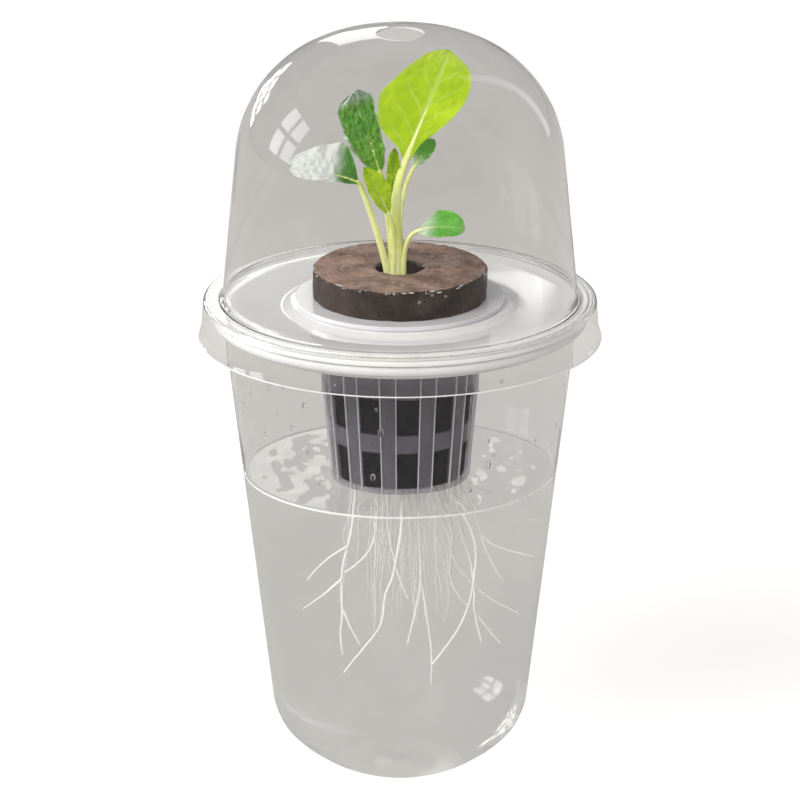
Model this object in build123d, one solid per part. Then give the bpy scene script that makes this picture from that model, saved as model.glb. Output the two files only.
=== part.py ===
from build123d import *
from dataclasses import dataclass
import math
import os

# Hydroponic jar planter: a clear jar of water, a white planting tray on its rim, a net pot with
# a seedling hung in the tray, and a clear dome cover with a vent hole over all of them.
# Millimetres, Z up. The origin is the middle of the jar's flat foot, and the front faces -Y.

# Jar: a tapered wall, a round corner and a spherical floor, whose radius is larger than the
# bottom of the wall by the bulge, with a rolled rim
jar_height = 120.3
jar_wall = 0.6
jar_mouth_radius = 44.6
jar_taper = 0.124
jar_corner_radius = 17.0
jar_floor_bulge = 9.6
jar_foot_radius = 13.3
jar_floor_thickness = 0.9
punt_radius = 9.0
punt_height = 1.4
curl_radius = 1.55
curl_land_depth = 0.1
curl_sweep = 280.0

# Water, which the foot of the net pot dips into
pot_dip = 1.7
water_gap = 0.1
water_clearance = 0.35

# Planting tray: a ring on the jar's rim, a trough, a seat for the pot and a collar in the mouth
tray_overhang = 0.3
tray_rim_width = 2.6
tray_rim_height = 2.6
tray_wall = 1.2
trough_depth = 2.3
trough_slope_width = 4.6
seat_height = 2.2
seat_margin = 1.0
seat_slope_width = 4.0
tray_round = 3.0
groove_depth = 0.4
groove_height = 0.9
collar_depth = 4.4
collar_wall = 1.2
collar_clearance = 0.35

# Net pot: a slotted floor, a tapered wall with two rows of windows, and a flange
pot_flange_width = 4.9
pot_flange_thickness = 1.2
pot_depth = 46.2
pot_mouth_radius = 21.5
pot_taper = 0.0905
pot_wall = 1.0
pot_floor = 1.2
pot_clearance = 0.35
window_columns = 12
window_width = 5.6
window_turn = 6.0
upper_window_drop = 20.3
upper_window_height = 9.7
window_band = 4.8
rib_width = 0.9
rib_height = 0.4
slot_inner_radius = 7.0
slot_length = 6.5
slot_width = 2.2

# Growing medium, peat disc and crown
medium_gap = 0.3
disc_lap = 0.5
disc_thickness = 7.7
disc_edge_round = 0.8
disc_hole_radius = 6.0
disc_hole_depth = 5.0
crown_radius = 4.4
crown_height = 1.8

# Seedling, with headroom under the dome
leaf_headroom = 7.7
blade_thickness = 0.5
stalk_stations = 5
stalk_reach = 0.35

# Roots, which start inside the edge of the pot's foot and spread up to the jar's wall and floor
root_edge_gap = 2.0
root_wall_gap = 0.4
root_floor_gap = 22.6
root_radius = 0.5
branch_radius = 0.35
bend_share = 0.45

# Dome cover: a tapered wall and two arcs, with a shoulder and a flared skirt
dome_rise = 69.5
dome_wall = 0.5
dome_inset = 2.55
dome_taper = 0.092
dome_corner_radius = 33.0
dome_crown_radius = 70.0
shoulder_round = 2.4
skirt_gap = 0.75
skirt_height = 10.1
skirt_draft = 0.5
flare_width = 0.8
flare_height = 2.6
vent_radius = 6.1
locator_clearance = 0.35
locator_depth = 2.2
locator_wall = 0.5

# Heights and radii that follow from the sizes above
curl_z = jar_height + curl_land_depth - curl_radius
rolled_wall = jar_wall * math.hypot(1, jar_taper)
jar_rim_radius = jar_mouth_radius - rolled_wall + 2 * curl_radius
jar_bottom_radius = jar_mouth_radius - jar_taper * curl_z
jar_floor_radius = jar_bottom_radius + jar_floor_bulge
jar_sagitta = jar_floor_radius - math.sqrt(jar_floor_radius**2 - jar_foot_radius**2)
tray_rim_radius = jar_rim_radius + tray_overhang
tray_top_z = jar_height + tray_rim_height
trough_z = tray_top_z - trough_depth
seat_z = trough_z + seat_height
pot_bottom_z = seat_z - pot_depth
pot_foot_radius = pot_mouth_radius - pot_taper * pot_depth
pot_flange_radius = pot_mouth_radius + pot_flange_width
disc_radius = pot_mouth_radius + disc_lap
water_level = pot_bottom_z + pot_dip
flange_z = seat_z + pot_flange_thickness
disc_top_z = flange_z + disc_thickness
crown_top_z = disc_top_z - disc_hole_depth + crown_height
shoulder_z = tray_top_z
dome_base_radius = tray_rim_radius - dome_inset
locator_inner = tray_rim_radius + locator_clearance
locator_outer = locator_inner + locator_wall
skirt_radius = locator_outer + skirt_gap + dome_wall


def jar_inner_radius(z):
    """Inner radius of the jar's straight wall at a height."""
    return jar_mouth_radius - jar_taper * (curl_z - z) - rolled_wall


def pot_outer_radius(z):
    """Outer radius of the net pot's wall at a height."""
    return pot_mouth_radius - pot_taper * (seat_z - z)


def turned(outline):
    """Solid of revolution of a closed outline drawn as radius and height."""
    return revolve(Plane.XZ * make_face(outline), Axis.Z)


def bell(base_radius, taper, corner, crown, height, inset=0.0):
    """Solid bell on z = 0: a tapered wall, a corner arc and a crown arc up to the given height.

    With an inset, every surface but the base moves in by that distance.
    """
    slant = math.hypot(1, taper)
    radius = base_radius - inset * slant
    corner = corner - inset
    crown = crown - inset
    top = height - inset
    crown_z = top - crown
    middle = radius - corner * slant
    half = middle * taper + crown_z
    square = taper**2 + 1
    rest = middle**2 + crown_z**2 - (crown - corner) ** 2
    corner_z = (half + math.sqrt(half**2 - square * rest)) / square
    corner_r = middle - taper * corner_z
    wall_angle = math.degrees(math.atan2(taper, 1))
    join_angle = math.degrees(math.atan2(corner_z - crown_z, corner_r))
    corner_arc = CenterArc((corner_r, corner_z), corner, wall_angle, join_angle - wall_angle)
    crown_arc = CenterArc((0, crown_z), crown, join_angle, 90 - join_angle)
    wall = Line((radius, 0), corner_arc @ 0)
    closing = Polyline(crown_arc @ 1, (0, 0), (radius, 0))
    return turned([wall, corner_arc, crown_arc, closing])


def upper_half(solid, z):
    """The part of a solid above a height."""
    return split(solid, bisect_by=Plane.XY.offset(z), keep=Keep.TOP)


def lower_half(solid, z):
    """The part of a solid below a height."""
    return split(solid, bisect_by=Plane.XY.offset(z), keep=Keep.BOTTOM)


def low_dome(radius, height, z):
    """A spherical cap of the given base radius and height, with its base at z."""
    ball = (radius**2 + height**2) / (2 * height)
    return upper_half(Pos(0, 0, z + height - ball) * Sphere(ball), z)


def jar_bell(inset):
    """The jar's filled outline, moved in by the inset, standing with its mouth up."""
    depth = curl_z + jar_sagitta
    solid = bell(
        jar_mouth_radius, jar_taper, jar_corner_radius, jar_floor_radius, depth, inset
    )
    return Pos(0, 0, curl_z) * mirror(solid, about=Plane.XY)


def jar_cavity(inset):
    """The jar's inside, with a flat floor round its raised middle."""
    hollow = upper_half(jar_bell(inset), jar_floor_thickness)
    return hollow - low_dome(punt_radius, punt_height, jar_floor_thickness)


def make_jar():
    """Jar with a raised base and an open rolled rim."""
    body = upper_half(jar_bell(0), 0) - low_dome(punt_radius, punt_height, 0)
    body = body - jar_cavity(jar_wall)
    centre = (jar_rim_radius - curl_radius, curl_z)
    outside = CenterArc(centre, curl_radius, 180, -curl_sweep)
    inside = CenterArc(centre, curl_radius - rolled_wall, 180, -curl_sweep)
    ends = [Line(outside @ 0, inside @ 0), Line(outside @ 1, inside @ 1)]
    curl = turned([outside, inside] + ends)
    return lower_half(body + curl, jar_height)


def make_tray():
    """White tray on the jar's rim, turned from one outline."""
    rim_inner = tray_rim_radius - tray_rim_width
    trough_outer = rim_inner - trough_slope_width
    seat_radius = pot_flange_radius + seat_margin
    trough_inner = seat_radius + seat_slope_width
    hole = pot_mouth_radius + rib_height + pot_clearance
    collar_outer = jar_inner_radius(jar_height - collar_depth) - collar_clearance
    collar_inner = collar_outer - collar_wall
    middle = (tray_top_z + jar_height) / 2
    top = FilletPolyline(
        (hole, seat_z),
        (seat_radius, seat_z),
        (trough_inner, trough_z),
        (trough_outer, trough_z),
        (rim_inner, tray_top_z),
        (tray_rim_radius, tray_top_z),
        radius=tray_round,
    )
    below = Polyline(
        (tray_rim_radius, tray_top_z),
        (tray_rim_radius, middle + groove_height / 2),
        (tray_rim_radius - groove_depth, middle),
        (tray_rim_radius, middle - groove_height / 2),
        (tray_rim_radius, jar_height),
        (collar_outer, jar_height),
        (collar_outer, jar_height - collar_depth),
        (collar_inner, jar_height - collar_depth),
        (collar_inner, trough_z - tray_wall),
        (trough_inner, trough_z - tray_wall),
        (seat_radius, seat_z - tray_wall),
        (hole, seat_z - tray_wall),
        (hole, seat_z),
    )
    return turned([top, below])


def make_net_pot():
    """Net pot with window columns, a rib on each bar, floor slots and a flange."""
    floor_z = pot_bottom_z + pot_floor
    shell = turned(
        Polyline(
            (0, pot_bottom_z),
            (pot_foot_radius, pot_bottom_z),
            (pot_mouth_radius, seat_z),
            (pot_flange_radius, seat_z),
            (pot_flange_radius, flange_z),
            (pot_outer_radius(flange_z) - pot_wall, flange_z),
            (pot_outer_radius(floor_z) - pot_wall, floor_z),
            (0, floor_z),
            (0, pot_bottom_z),
        )
    )
    upper_top = seat_z - upper_window_drop
    lower_top = upper_top - upper_window_height - window_band
    lean = math.degrees(math.atan(pot_taper))
    rib_length = pot_depth / math.cos(math.radians(lean))
    upper = Box(4 * pot_wall, window_width, upper_window_height)
    lower = Box(4 * pot_wall, window_width, lower_top - floor_z)
    slot = SlotOverall(slot_length, slot_width)
    rib = Box(2 * rib_height, rib_width, rib_length, align=(Align.CENTER, Align.CENTER, Align.MIN))
    rib = Pos(pot_foot_radius, 0, pot_bottom_z) * Rot(0, lean, 0) * rib
    rib = upper_half(lower_half(rib, seat_z), pot_bottom_z)
    step = 360 / window_columns
    cuts = []
    ribs = []
    for column in range(window_columns):
        turn = Rot(0, 0, -90 + window_turn + column * step)
        for window, top, height in (
            (upper, upper_top, upper_window_height),
            (lower, lower_top, lower_top - floor_z),
        ):
            z = top - height / 2
            cuts.append(turn * Pos(pot_outer_radius(z) - pot_wall / 2, 0, z) * window)
        slot_middle = slot_inner_radius + slot_length / 2
        cuts.append(turn * extrude(Pos(slot_middle, 0, pot_bottom_z) * slot, pot_floor))
        ribs.append(Rot(0, 0, step / 2) * turn * rib)
    cavity = turned(
        Polyline(
            (0, floor_z),
            (pot_outer_radius(floor_z) - pot_wall, floor_z),
            (pot_outer_radius(flange_z) - pot_wall, flange_z),
            (0, flange_z),
            (0, floor_z),
        )
    )
    return shell + ribs - cavity - cuts


def make_medium():
    """Dark medium that fills the net pot up to the peat disc."""
    floor_z = pot_bottom_z + pot_floor
    inward = pot_wall + medium_gap
    return turned(
        Polyline(
            (0, floor_z),
            (pot_outer_radius(floor_z) - inward, floor_z),
            (pot_outer_radius(flange_z) - inward, flange_z),
            (0, flange_z),
            (0, floor_z),
        )
    )


def make_disc():
    """Peat disc with a blind planting hole."""
    disc = Pos(0, 0, flange_z + disc_thickness / 2) * Cylinder(disc_radius, disc_thickness)
    disc = fillet(disc.edges().sort_by(Axis.Z)[-1], disc_edge_round)
    hole = Cylinder(disc_hole_radius, disc_hole_depth)
    return disc - Pos(0, 0, disc_top_z - disc_hole_depth / 2) * hole


def make_crown():
    """Crown of the seedling, on the floor of the planting hole."""
    return Pos(0, 0, crown_top_z - crown_height / 2) * Cylinder(crown_radius, crown_height)


def make_dome():
    """Dome cover with a vent hole, a rounded shoulder, a locating ring and a flared skirt."""
    rise = dome_rise + dome_wall
    outer = bell(dome_base_radius, dome_taper, dome_corner_radius, dome_crown_radius, rise)
    inner = bell(
        dome_base_radius, dome_taper, dome_corner_radius, dome_crown_radius, rise, dome_wall
    )
    inner_radius = dome_base_radius - dome_wall * math.hypot(1, dome_taper)
    round_z = dome_wall + shoulder_round
    round_radius = dome_base_radius - dome_taper * round_z
    round_inner = inner_radius - dome_taper * round_z
    skirt_low = dome_wall - skirt_height
    flare_top = skirt_low + flare_height
    low_radius = skirt_radius + skirt_draft
    edge_radius = low_radius + flare_width
    below = Polyline(
        (round_inner, round_z),
        (inner_radius, 0),
        (locator_inner, 0),
        (locator_inner, -locator_depth),
        (locator_outer, -locator_depth),
        (locator_outer, 0),
        (skirt_radius - dome_wall, 0),
        (low_radius - dome_wall, flare_top),
        (edge_radius - dome_wall, skirt_low),
        (edge_radius, skirt_low),
        (low_radius, flare_top),
        (skirt_radius, dome_wall),
        (dome_base_radius + shoulder_round, dome_wall),
    )
    rounded = RadiusArc(below @ 1, (round_radius, round_z), shoulder_round)
    closing = Line((round_radius, round_z), (round_inner, round_z))
    cover = outer - inner + turned([below, rounded, closing])
    cover = cover - Pos(0, 0, rise) * Cylinder(vent_radius, 2 * dome_corner_radius)
    return Pos(0, 0, shoulder_z) * cover


@dataclass
class Leaf:
    """A stalk from the crown and a blade at its end.

    Points are (x, y, height above the crown), counted in leaf steps as all its sizes are. Widths
    are (share of the length, left, right), as seen from the side that the blade faces. The arch
    bows the blade and the cup lifts its edges.
    """

    name: str
    foot: tuple
    stalk_radii: tuple
    base: tuple
    tip: tuple
    facing: tuple
    arch: float
    cup: float
    widths: tuple

    def spine(self, share):
        """Point, direction, side and normal of the blade at a share of its length."""
        base = Vector(*self.base) * leaf_step
        run = Vector(*self.tip) * leaf_step - base
        side = run.cross(Vector(*self.facing)).normalized()
        bow = side.cross(run).normalized()
        rise = bow * (4 * self.arch * leaf_step)
        point = base + run * share + rise * (share * (1 - share))
        along = (run + rise * (1 - 2 * share)).normalized()
        return point, along, side, side.cross(along).normalized()

    def stalk(self):
        """Tapered stalk, upright at the crown and in line with the blade at its end."""
        start = Vector(self.foot[0], self.foot[1], 0) * leaf_step
        end, along, _, _ = self.spine(0)
        reach = (end - start).length * stalk_reach
        first = start + Vector(0, 0, reach)
        second = end - along * reach
        rings = []
        for station in range(stalk_stations):
            t = station / (stalk_stations - 1)
            s = 1 - t
            point = start * s**3 + first * (3 * s * s * t) + second * (3 * s * t * t) + end * t**3
            heading = (first - start) * (s * s) + (second - first) * (2 * s * t)
            heading = heading + (end - second) * (t * t)
            radius = (self.stalk_radii[0] * s + self.stalk_radii[1] * t) * leaf_step
            across = heading.cross(Vector(0, 1, 0))
            rings.append(Plane(point, x_dir=across, z_dir=heading) * Circle(radius))
        return loft(rings)

    def blade(self):
        """Thin blade through curved cross strips."""
        widest = max(max(left, right) for _, left, right in self.widths)
        strips = []
        for share, left, right in self.widths:
            point, _, side, normal = self.spine(share)
            half = normal * (blade_thickness / 2)
            lift = normal * (self.cup * leaf_step / widest**2)
            left_edge = point - side * (left * leaf_step) + lift * left**2
            right_edge = point + side * (right * leaf_step) + lift * right**2
            upper = ThreePointArc(left_edge + half, point + half, right_edge + half)
            lower = ThreePointArc(left_edge - half, point - half, right_edge - half)
            ends = [Line(upper @ 0, lower @ 0), Line(upper @ 1, lower @ 1)]
            strips.append(make_face([upper, lower] + ends))
        return loft(strips)


leaves = [
    Leaf(
        "tall", (0.2, 0.0), (1.8, 1.0), (2.6, 1.6, 33.0), (12.2, 7.5, 56.2), (-0.15, -1.0, 0.25),
        -1.5, 1.6,
        ((0.0, 1.0, 1.0), (0.12, 7.6, 4.2), (0.32, 11.2, 7.0), (0.52, 11.0, 8.6), (0.74, 8.6, 8.4),
         (0.9, 5.0, 5.6), (1.0, 1.6, 1.6)),
    ),
    Leaf(
        "crinkled", (-2.5, 1.2), (0.9, 0.8), (-5.2, 3.4, 27.4), (-12.0, 7.0, 47.4), (0.35, -1.0, 0.2),
        1.6, 1.4,
        ((0.0, 0.8, 0.8), (0.2, 3.6, 2.6), (0.45, 5.6, 3.8), (0.7, 6.0, 4.4), (0.9, 4.6, 4.2),
         (1.0, 2.6, 2.4)),
    ),
    Leaf(
        "side", (-2.4, -1.5), (0.8, 0.7), (-10.6, -3.8, 26.2), (-28.0, -8.0, 31.8), (-0.25, -0.75, 0.65),
        1.8, 1.3,
        ((0.0, 0.8, 0.8), (0.2, 3.0, 3.6), (0.45, 4.0, 5.2), (0.7, 3.6, 4.6), (0.9, 2.2, 2.8),
         (1.0, 0.8, 0.8)),
    ),
    Leaf(
        "small", (2.5, -1.2), (0.7, 0.5), (6.2, -5.0, 14.4), (16.4, -9.6, 17.2), (0.1, -0.6, 0.8),
        1.2, 0.8,
        ((0.0, 0.6, 0.6), (0.25, 2.9, 2.4), (0.5, 3.8, 3.2), (0.75, 3.4, 2.9), (1.0, 0.9, 0.9)),
    ),
    Leaf(
        "young", (-0.8, -2.6), (0.6, 0.5), (-3.0, -4.2, 19.0), (-9.0, -6.4, 31.2), (0.2, -1.0, 0.4),
        0.8, 0.7,
        ((0.0, 0.6, 0.6), (0.25, 1.9, 2.2), (0.5, 2.4, 3.0), (0.75, 1.9, 2.4), (1.0, 0.5, 0.5)),
    ),
    Leaf(
        "inner", (-3.3, -0.1), (0.45, 0.4), (-3.0, 0.3, 16.6), (-3.2, 0.6, 33.5), (0.1, -1.0, 0.2),
        0.6, 0.6,
        ((0.0, 0.5, 0.5), (0.25, 1.6, 1.1), (0.5, 2.0, 1.3), (0.75, 1.8, 1.3), (1.0, 0.7, 0.7)),
    ),
    Leaf(
        "back", (1.6, 2.3), (0.7, 0.6), (3.8, 8.4, 27.0), (9.6, 12.4, 33.6), (0.0, -0.8, 0.6),
        0.9, 0.8,
        ((0.0, 0.6, 0.6), (0.25, 2.6, 2.4), (0.5, 3.3, 3.2), (0.75, 2.7, 2.7), (1.0, 0.8, 0.8)),
    ),
]

# A leaf step is such that the tallest leaf leaves the headroom
tallest = max(leaf.tip[2] for leaf in leaves)
leaf_step = (shoulder_z + dome_rise - crown_top_z - leaf_headroom) / tallest

# Each root's points are (x, y, depth below the net pot), counted in steps. The first list is the
# main root, and the others are branches, whose first point lies on it.
roots = {
    "root_left": [
        [(-11.1, -5.2, 0), (-11.1, -5.2, 6), (-12.2, -5.5, 14.5), (-14, -5, 21), (-14.7, -4.5, 28.5),
         (-14.2, -5, 35), (-15, -5.6, 41.5), (-14.2, -5, 46)],
        [(-14.5, -4.6, 26), (-19, -5.4, 30.3), (-24, -4.4, 34)],
        [(-12.8, -5.3, 17), (-18, -6.4, 19), (-23, -6.4, 25.5)],
        [(-14.3, -4.9, 33.5), (-12.4, -6.2, 38.5), (-9.9, -6.6, 43)],
    ],
    "root_front": [
        [(0.9, -10.2, 0), (0.9, -10.2, 6), (0.2, -10, 12.5), (-0.9, -10.4, 18.6), (-1.6, -10, 23.5),
         (-3.9, -9.6, 28.6), (-4, -10, 33.8), (-5.4, -10.4, 38), (-9, -10, 42.5), (-14, -10.6, 49)],
    ],
    "root_mid": [
        [(-3.2, 4.2, 0), (-3.2, 4.2, 8), (-2.8, 4.6, 17), (-1.1, 4.2, 24.7), (0.2, 4.6, 30), (1.9, 4, 34)],
    ],
    "root_mid_left": [
        [(-6.2, 7.2, 0), (-6.2, 7.2, 8.4), (-5.4, 7, 17), (-8.7, 7.6, 25.2), (-14.4, 8.4, 29)],
    ],
    "root_centre": [
        [(4.7, -4.2, 0), (4.7, -4.2, 7), (4.9, -4, 17), (5.3, -4.4, 28), (3.6, -4.2, 36), (1.9, -4, 43.5)],
        [(5.2, -4.3, 26), (6.6, -3.4, 36), (8, -4, 45), (7.8, -4.2, 54)],
    ],
    "root_back": [
        [(10.8, 7, 0), (10.8, 7, 9), (13.4, 7.8, 17.3), (12, 8, 27), (13, 8.2, 33), (16.4, 8, 37)],
    ],
    "root_right": [
        [(12.6, -7.8, 0), (12.6, -7.8, 4), (16.5, -8.4, 8.5), (19.2, -8, 16.5), (18.4, -8.2, 25),
         (17.4, -8, 31.5), (13.8, -8.6, 40), (8, -8, 47.6)],
    ],
    "root_inner_right": [
        [(13.9, 2.2, 0), (13.9, 2.2, 7.4), (15, 2, 15.5), (17.5, 2.4, 23), (18.4, 2, 30), (18.3, 1.6, 37.5),
         (20.2, 2, 45)],
        [(18.3, 1.7, 36.4), (21.6, 3, 42), (25, 3.2, 46)],
    ],
    "root_far_back": [
        [(8.2, 11.8, 0), (8.2, 11.8, 9), (12, 12, 19), (13.6, 12.4, 27.6), (18, 12, 33), (23, 11.4, 37.4),
         (29, 10, 40)],
    ],
    "root_outer_right": [
        [(15, -3.1, 0), (15, -3.1, 3.6), (18.6, -3.2, 8.6), (20, -3, 14.8), (24, -3.2, 18.4),
         (33, -3, 20.6)],
        [(19.8, -3, 13.4), (21.4, -2, 21), (25.4, -2.2, 27)],
    ],
    "root_surface": [
        [(14, 5.8, 0), (14, 5.8, 3), (18, 6.4, 6.4), (23.4, 6.2, 9.4), (28.4, 6, 13.4), (35, 6.4, 14)],
    ],
}


# Root steps: the outermost start, the widest spread and the deepest point keep their gaps
starts = [strands[0][0] for strands in roots.values()]
outermost = max(math.hypot(x, y) for x, y, _ in starts)
widest = 0.0
deepest = 0.0
for strands in roots.values():
    start = strands[0][0]
    for x, y, depth in sum(strands, []):
        widest = max(widest, math.hypot(x - start[0], y - start[1]))
        deepest = max(deepest, depth)
room = jar_inner_radius(pot_bottom_z) - pot_foot_radius - root_wall_gap
start_step = (pot_foot_radius - root_edge_gap) / outermost
spread_step = room / widest
depth_step = (pot_bottom_z - root_floor_gap) / deepest


def strand_line(points, start):
    """A strand's points. The root starts with the pot's foot, and spreads in the room round it."""
    begin = Vector(start[0], start[1], 0) * start_step
    line = []
    for x, y, depth in points:
        aside = Vector(x - start[0], y - start[1], 0) * spread_step
        line.append(begin + aside + Vector(0, 0, pot_bottom_z - depth * depth_step))
    return line


def tube(line, radius):
    """Round tube along straight runs, with arcs as large as the runs beside them allow."""
    runs = [after - before for before, after in zip(line, line[1:])]
    bends = []
    for before, after in zip(runs, runs[1:]):
        turn = math.radians(before.get_angle(after))
        bends.append(bend_share * min(before.length, after.length) / math.tan(turn / 2))
    path = FilletPolyline(line, radius=bends)
    return sweep(Plane(line[0], z_dir=runs[0]) * Circle(radius), path=path)


def make_root(strands, extra=0.0):
    """A main root with its branches, thickened by an extra radius."""
    start = strands[0][0]
    root = tube(strand_line(strands[0], start), root_radius + extra)
    for branch in strands[1:]:
        root = root + tube(strand_line(branch, start), branch_radius + extra)
    return root


def make_water():
    """Water in the jar, clear of the net pot's foot and of the roots."""
    water = lower_half(jar_cavity(jar_wall + water_gap), water_level)
    foot_radius = pot_outer_radius(water_level) + rib_height + water_clearance
    foot_depth = water_level - pot_bottom_z + water_clearance
    foot = Cylinder(foot_radius, foot_depth)
    water = water - Pos(0, 0, water_level - foot_depth / 2) * foot
    for strands in roots.values():
        water = water - make_root(strands, water_clearance)
    return water


nodes = {
    "jar": make_jar(),
    "nutrient_water": make_water(),
    "planting_tray": make_tray(),
    "net_pot": make_net_pot(),
    "growing_medium": make_medium(),
    "peat_disc": make_disc(),
    "seedling_crown": make_crown(),
    "dome_cover": make_dome(),
}
for leaf in leaves:
    nodes[leaf.name + "_stalk"] = Pos(0, 0, crown_top_z) * leaf.stalk()
    nodes[leaf.name + "_blade"] = Pos(0, 0, crown_top_z) * leaf.blade()
for name, strands in roots.items():
    nodes[name] = make_root(strands)

os.makedirs("parts", exist_ok=True)
for name, solid in nodes.items():
    export_step(solid, f"parts/{name}.step")
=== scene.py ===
"""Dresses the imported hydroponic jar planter: shells, water, tray, net pot, seedling and roots."""

import logging
import math
import random
from dataclasses import dataclass
from enum import Enum
from typing import Callable, ClassVar, Dict, List, Optional, Sequence, Tuple

import bmesh
import bpy
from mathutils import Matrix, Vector, noise


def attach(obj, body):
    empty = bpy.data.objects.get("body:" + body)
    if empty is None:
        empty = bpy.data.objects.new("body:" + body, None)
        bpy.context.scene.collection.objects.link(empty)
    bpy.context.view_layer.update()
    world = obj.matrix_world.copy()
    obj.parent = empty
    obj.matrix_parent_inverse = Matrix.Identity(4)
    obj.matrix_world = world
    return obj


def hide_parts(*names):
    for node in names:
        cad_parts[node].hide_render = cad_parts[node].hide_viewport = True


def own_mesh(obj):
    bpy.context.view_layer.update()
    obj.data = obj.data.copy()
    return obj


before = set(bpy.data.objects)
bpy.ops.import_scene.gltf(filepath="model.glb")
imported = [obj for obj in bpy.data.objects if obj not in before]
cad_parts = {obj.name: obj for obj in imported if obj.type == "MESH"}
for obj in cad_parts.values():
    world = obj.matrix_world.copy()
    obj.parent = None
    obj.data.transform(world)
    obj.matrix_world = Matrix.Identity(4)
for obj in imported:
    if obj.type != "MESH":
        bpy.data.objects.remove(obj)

LOG = logging.getLogger("jar_planter")
MM = 0.001
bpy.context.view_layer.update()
FULL_TURN = 2 * math.pi
SAME_PLACE = 1e-4
ON_AXIS = 1e-6
# Seed of the vector noise, which Blender otherwise takes from the clock
NOISE_SEED = 7
UP = Vector((0, 0, 1))

Pair = Tuple[float, float]
Triple = Tuple[float, float, float]
Colour = Tuple[float, float, float]
Face = Tuple[int, ...]
Mesh = Tuple[List[Triple], List[Face]]
Material = bpy.types.Material
Finishes = Dict[str, bpy.types.Material]
Node = bpy.types.Node
NodeTree = bpy.types.NodeTree
Socket = bpy.types.NodeSocket


class Body(Enum):
    """Bodies that pieces ride on."""

    JAR = "jar"
    TRAY = "tray"
    POT = "pot"
    DOME = "dome"


class Slot(Enum):
    """Names of material slots; pieces are given one, which is not used."""

    CLEAR = "clear_plastic"
    WATER = "water"
    WHITE = "white_plastic"
    POT = "pot_plastic"
    MEDIUM = "growing_medium"
    PEAT = "peat"
    STALK = "stalk"
    LIGHT_LEAF = "light_leaf"
    DARK_LEAF = "dark_leaf"
    ROOT = "root"


# Outlines and meshes


def polar(radius: float, turn: float) -> Pair:
    """Point at a radius and an angle in radians."""
    return radius * math.cos(turn), radius * math.sin(turn)


def arc(centre: Pair, radius: float, start: float, end: float, steps: int) -> List[Pair]:
    """Points on a circle between two angles.

    Args:
        centre: Middle of the circle, as radius and height.
        radius: Radius of the circle.
        start: First angle in degrees.
        end: Last angle in degrees.
        steps: Number of runs between the two.

    Returns:
        The points, both ends included.
    """
    angles = [math.radians(start + (end - start) * i / steps) for i in range(steps + 1)]
    return [(centre[0] + x, centre[1] + y) for x, y in (polar(radius, a) for a in angles)]


def straight(first: Pair, last: Pair, steps: int) -> List[Pair]:
    """Evenly spaced points on a line, both ends included."""
    shares = [i / steps for i in range(steps + 1)]
    return [tuple(a + (b - a) * s for a, b in zip(first, last)) for s in shares]


def softened(points: Sequence[Pair], radius: float, steps: int = 4) -> List[Pair]:
    """Rounds the corners of an open outline.

    Args:
        points: Corners of the outline.
        radius: How far from a corner its rounding starts, at most half of the shorter run.
        steps: Number of runs in each rounding.

    Returns:
        The rounded outline.
    """
    line = [points[0]]
    for before, corner, after in zip(points, points[1:], points[2:]):
        back = Vector(before) - Vector(corner)
        ahead = Vector(after) - Vector(corner)
        reach = min(radius, back.length / 2, ahead.length / 2)
        first = Vector(corner) + back.normalized() * reach
        last = Vector(corner) + ahead.normalized() * reach
        for i in range(steps + 1):
            t = i / steps
            point = first * (1 - t) ** 2 + Vector(corner) * (2 * t * (1 - t)) + last * t * t
            line.append((point.x, point.y))
    line.append(points[-1])
    return line


def ring_faces(low: Sequence[int], high: Sequence[int]) -> List[Face]:
    """Faces between two rings of vertices.

    Args:
        low: Vertex numbers of the first ring, all the same where it is a point.
        high: Vertex numbers of the second ring, in the same way.

    Returns:
        The faces, without those that would be a line.
    """
    faces = []
    for i, first in enumerate(low):
        j = (i + 1) % len(low)
        corners = tuple(dict.fromkeys((first, low[j], high[j], high[i])))
        if len(corners) > 2:
            faces.append(corners)
    return faces


def lathe(outline: Sequence[Pair], segments: int, ring: bool = False) -> Mesh:
    """Turns an outline about the vertical axis.

    Args:
        outline: Points as radius and height in millimetres. An outline that isn't a ring starts
            and ends on the axis.
        segments: Number of facets round the axis.
        ring: True where the outline closes on itself.

    Returns:
        Vertices in millimetres and faces.
    """
    clean = [outline[0]]
    for point in outline[1:]:
        if math.dist(point, clean[-1]) > SAME_PLACE:
            clean.append(point)
    if ring and math.dist(clean[0], clean[-1]) < SAME_PLACE:
        clean.pop()
    verts: List[Triple] = []
    rows: List[List[int]] = []
    for radius, height in clean:
        if radius < ON_AXIS:
            rows.append([len(verts)] * segments)
            verts.append((0.0, 0.0, height))
            continue
        rows.append(list(range(len(verts), len(verts) + segments)))
        verts += [(*polar(radius, FULL_TURN * i / segments), height) for i in range(segments)]
    pairs = list(zip(rows, rows[1:])) + ([(rows[-1], rows[0])] if ring else [])
    return verts, [face for low, high in pairs for face in ring_faces(low, high)]


def joined(*meshes: Mesh) -> Mesh:
    """Puts several separate meshes into one.

    Args:
        *meshes: The meshes.

    Returns:
        One mesh of all of them.
    """
    verts: List[Triple] = []
    faces: List[Face] = []
    for more_verts, more_faces in meshes:
        start = len(verts)
        verts += more_verts
        faces += [tuple(i + start for i in face) for face in more_faces]
    return verts, faces


def placed(mesh: Mesh, start: Vector, across: Vector, along: Vector, out: Vector) -> Mesh:
    """Moves a mesh to a place, with its own axes along three vectors.

    Args:
        mesh: Vertices in millimetres and faces.
        start: Where its origin goes.
        across: What its X becomes.
        along: What its Y becomes.
        out: What its Z becomes.

    Returns:
        The moved mesh.
    """
    return [tuple(start + across * x + along * y + out * z) for x, y, z in mesh[0]], mesh[1]


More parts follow.
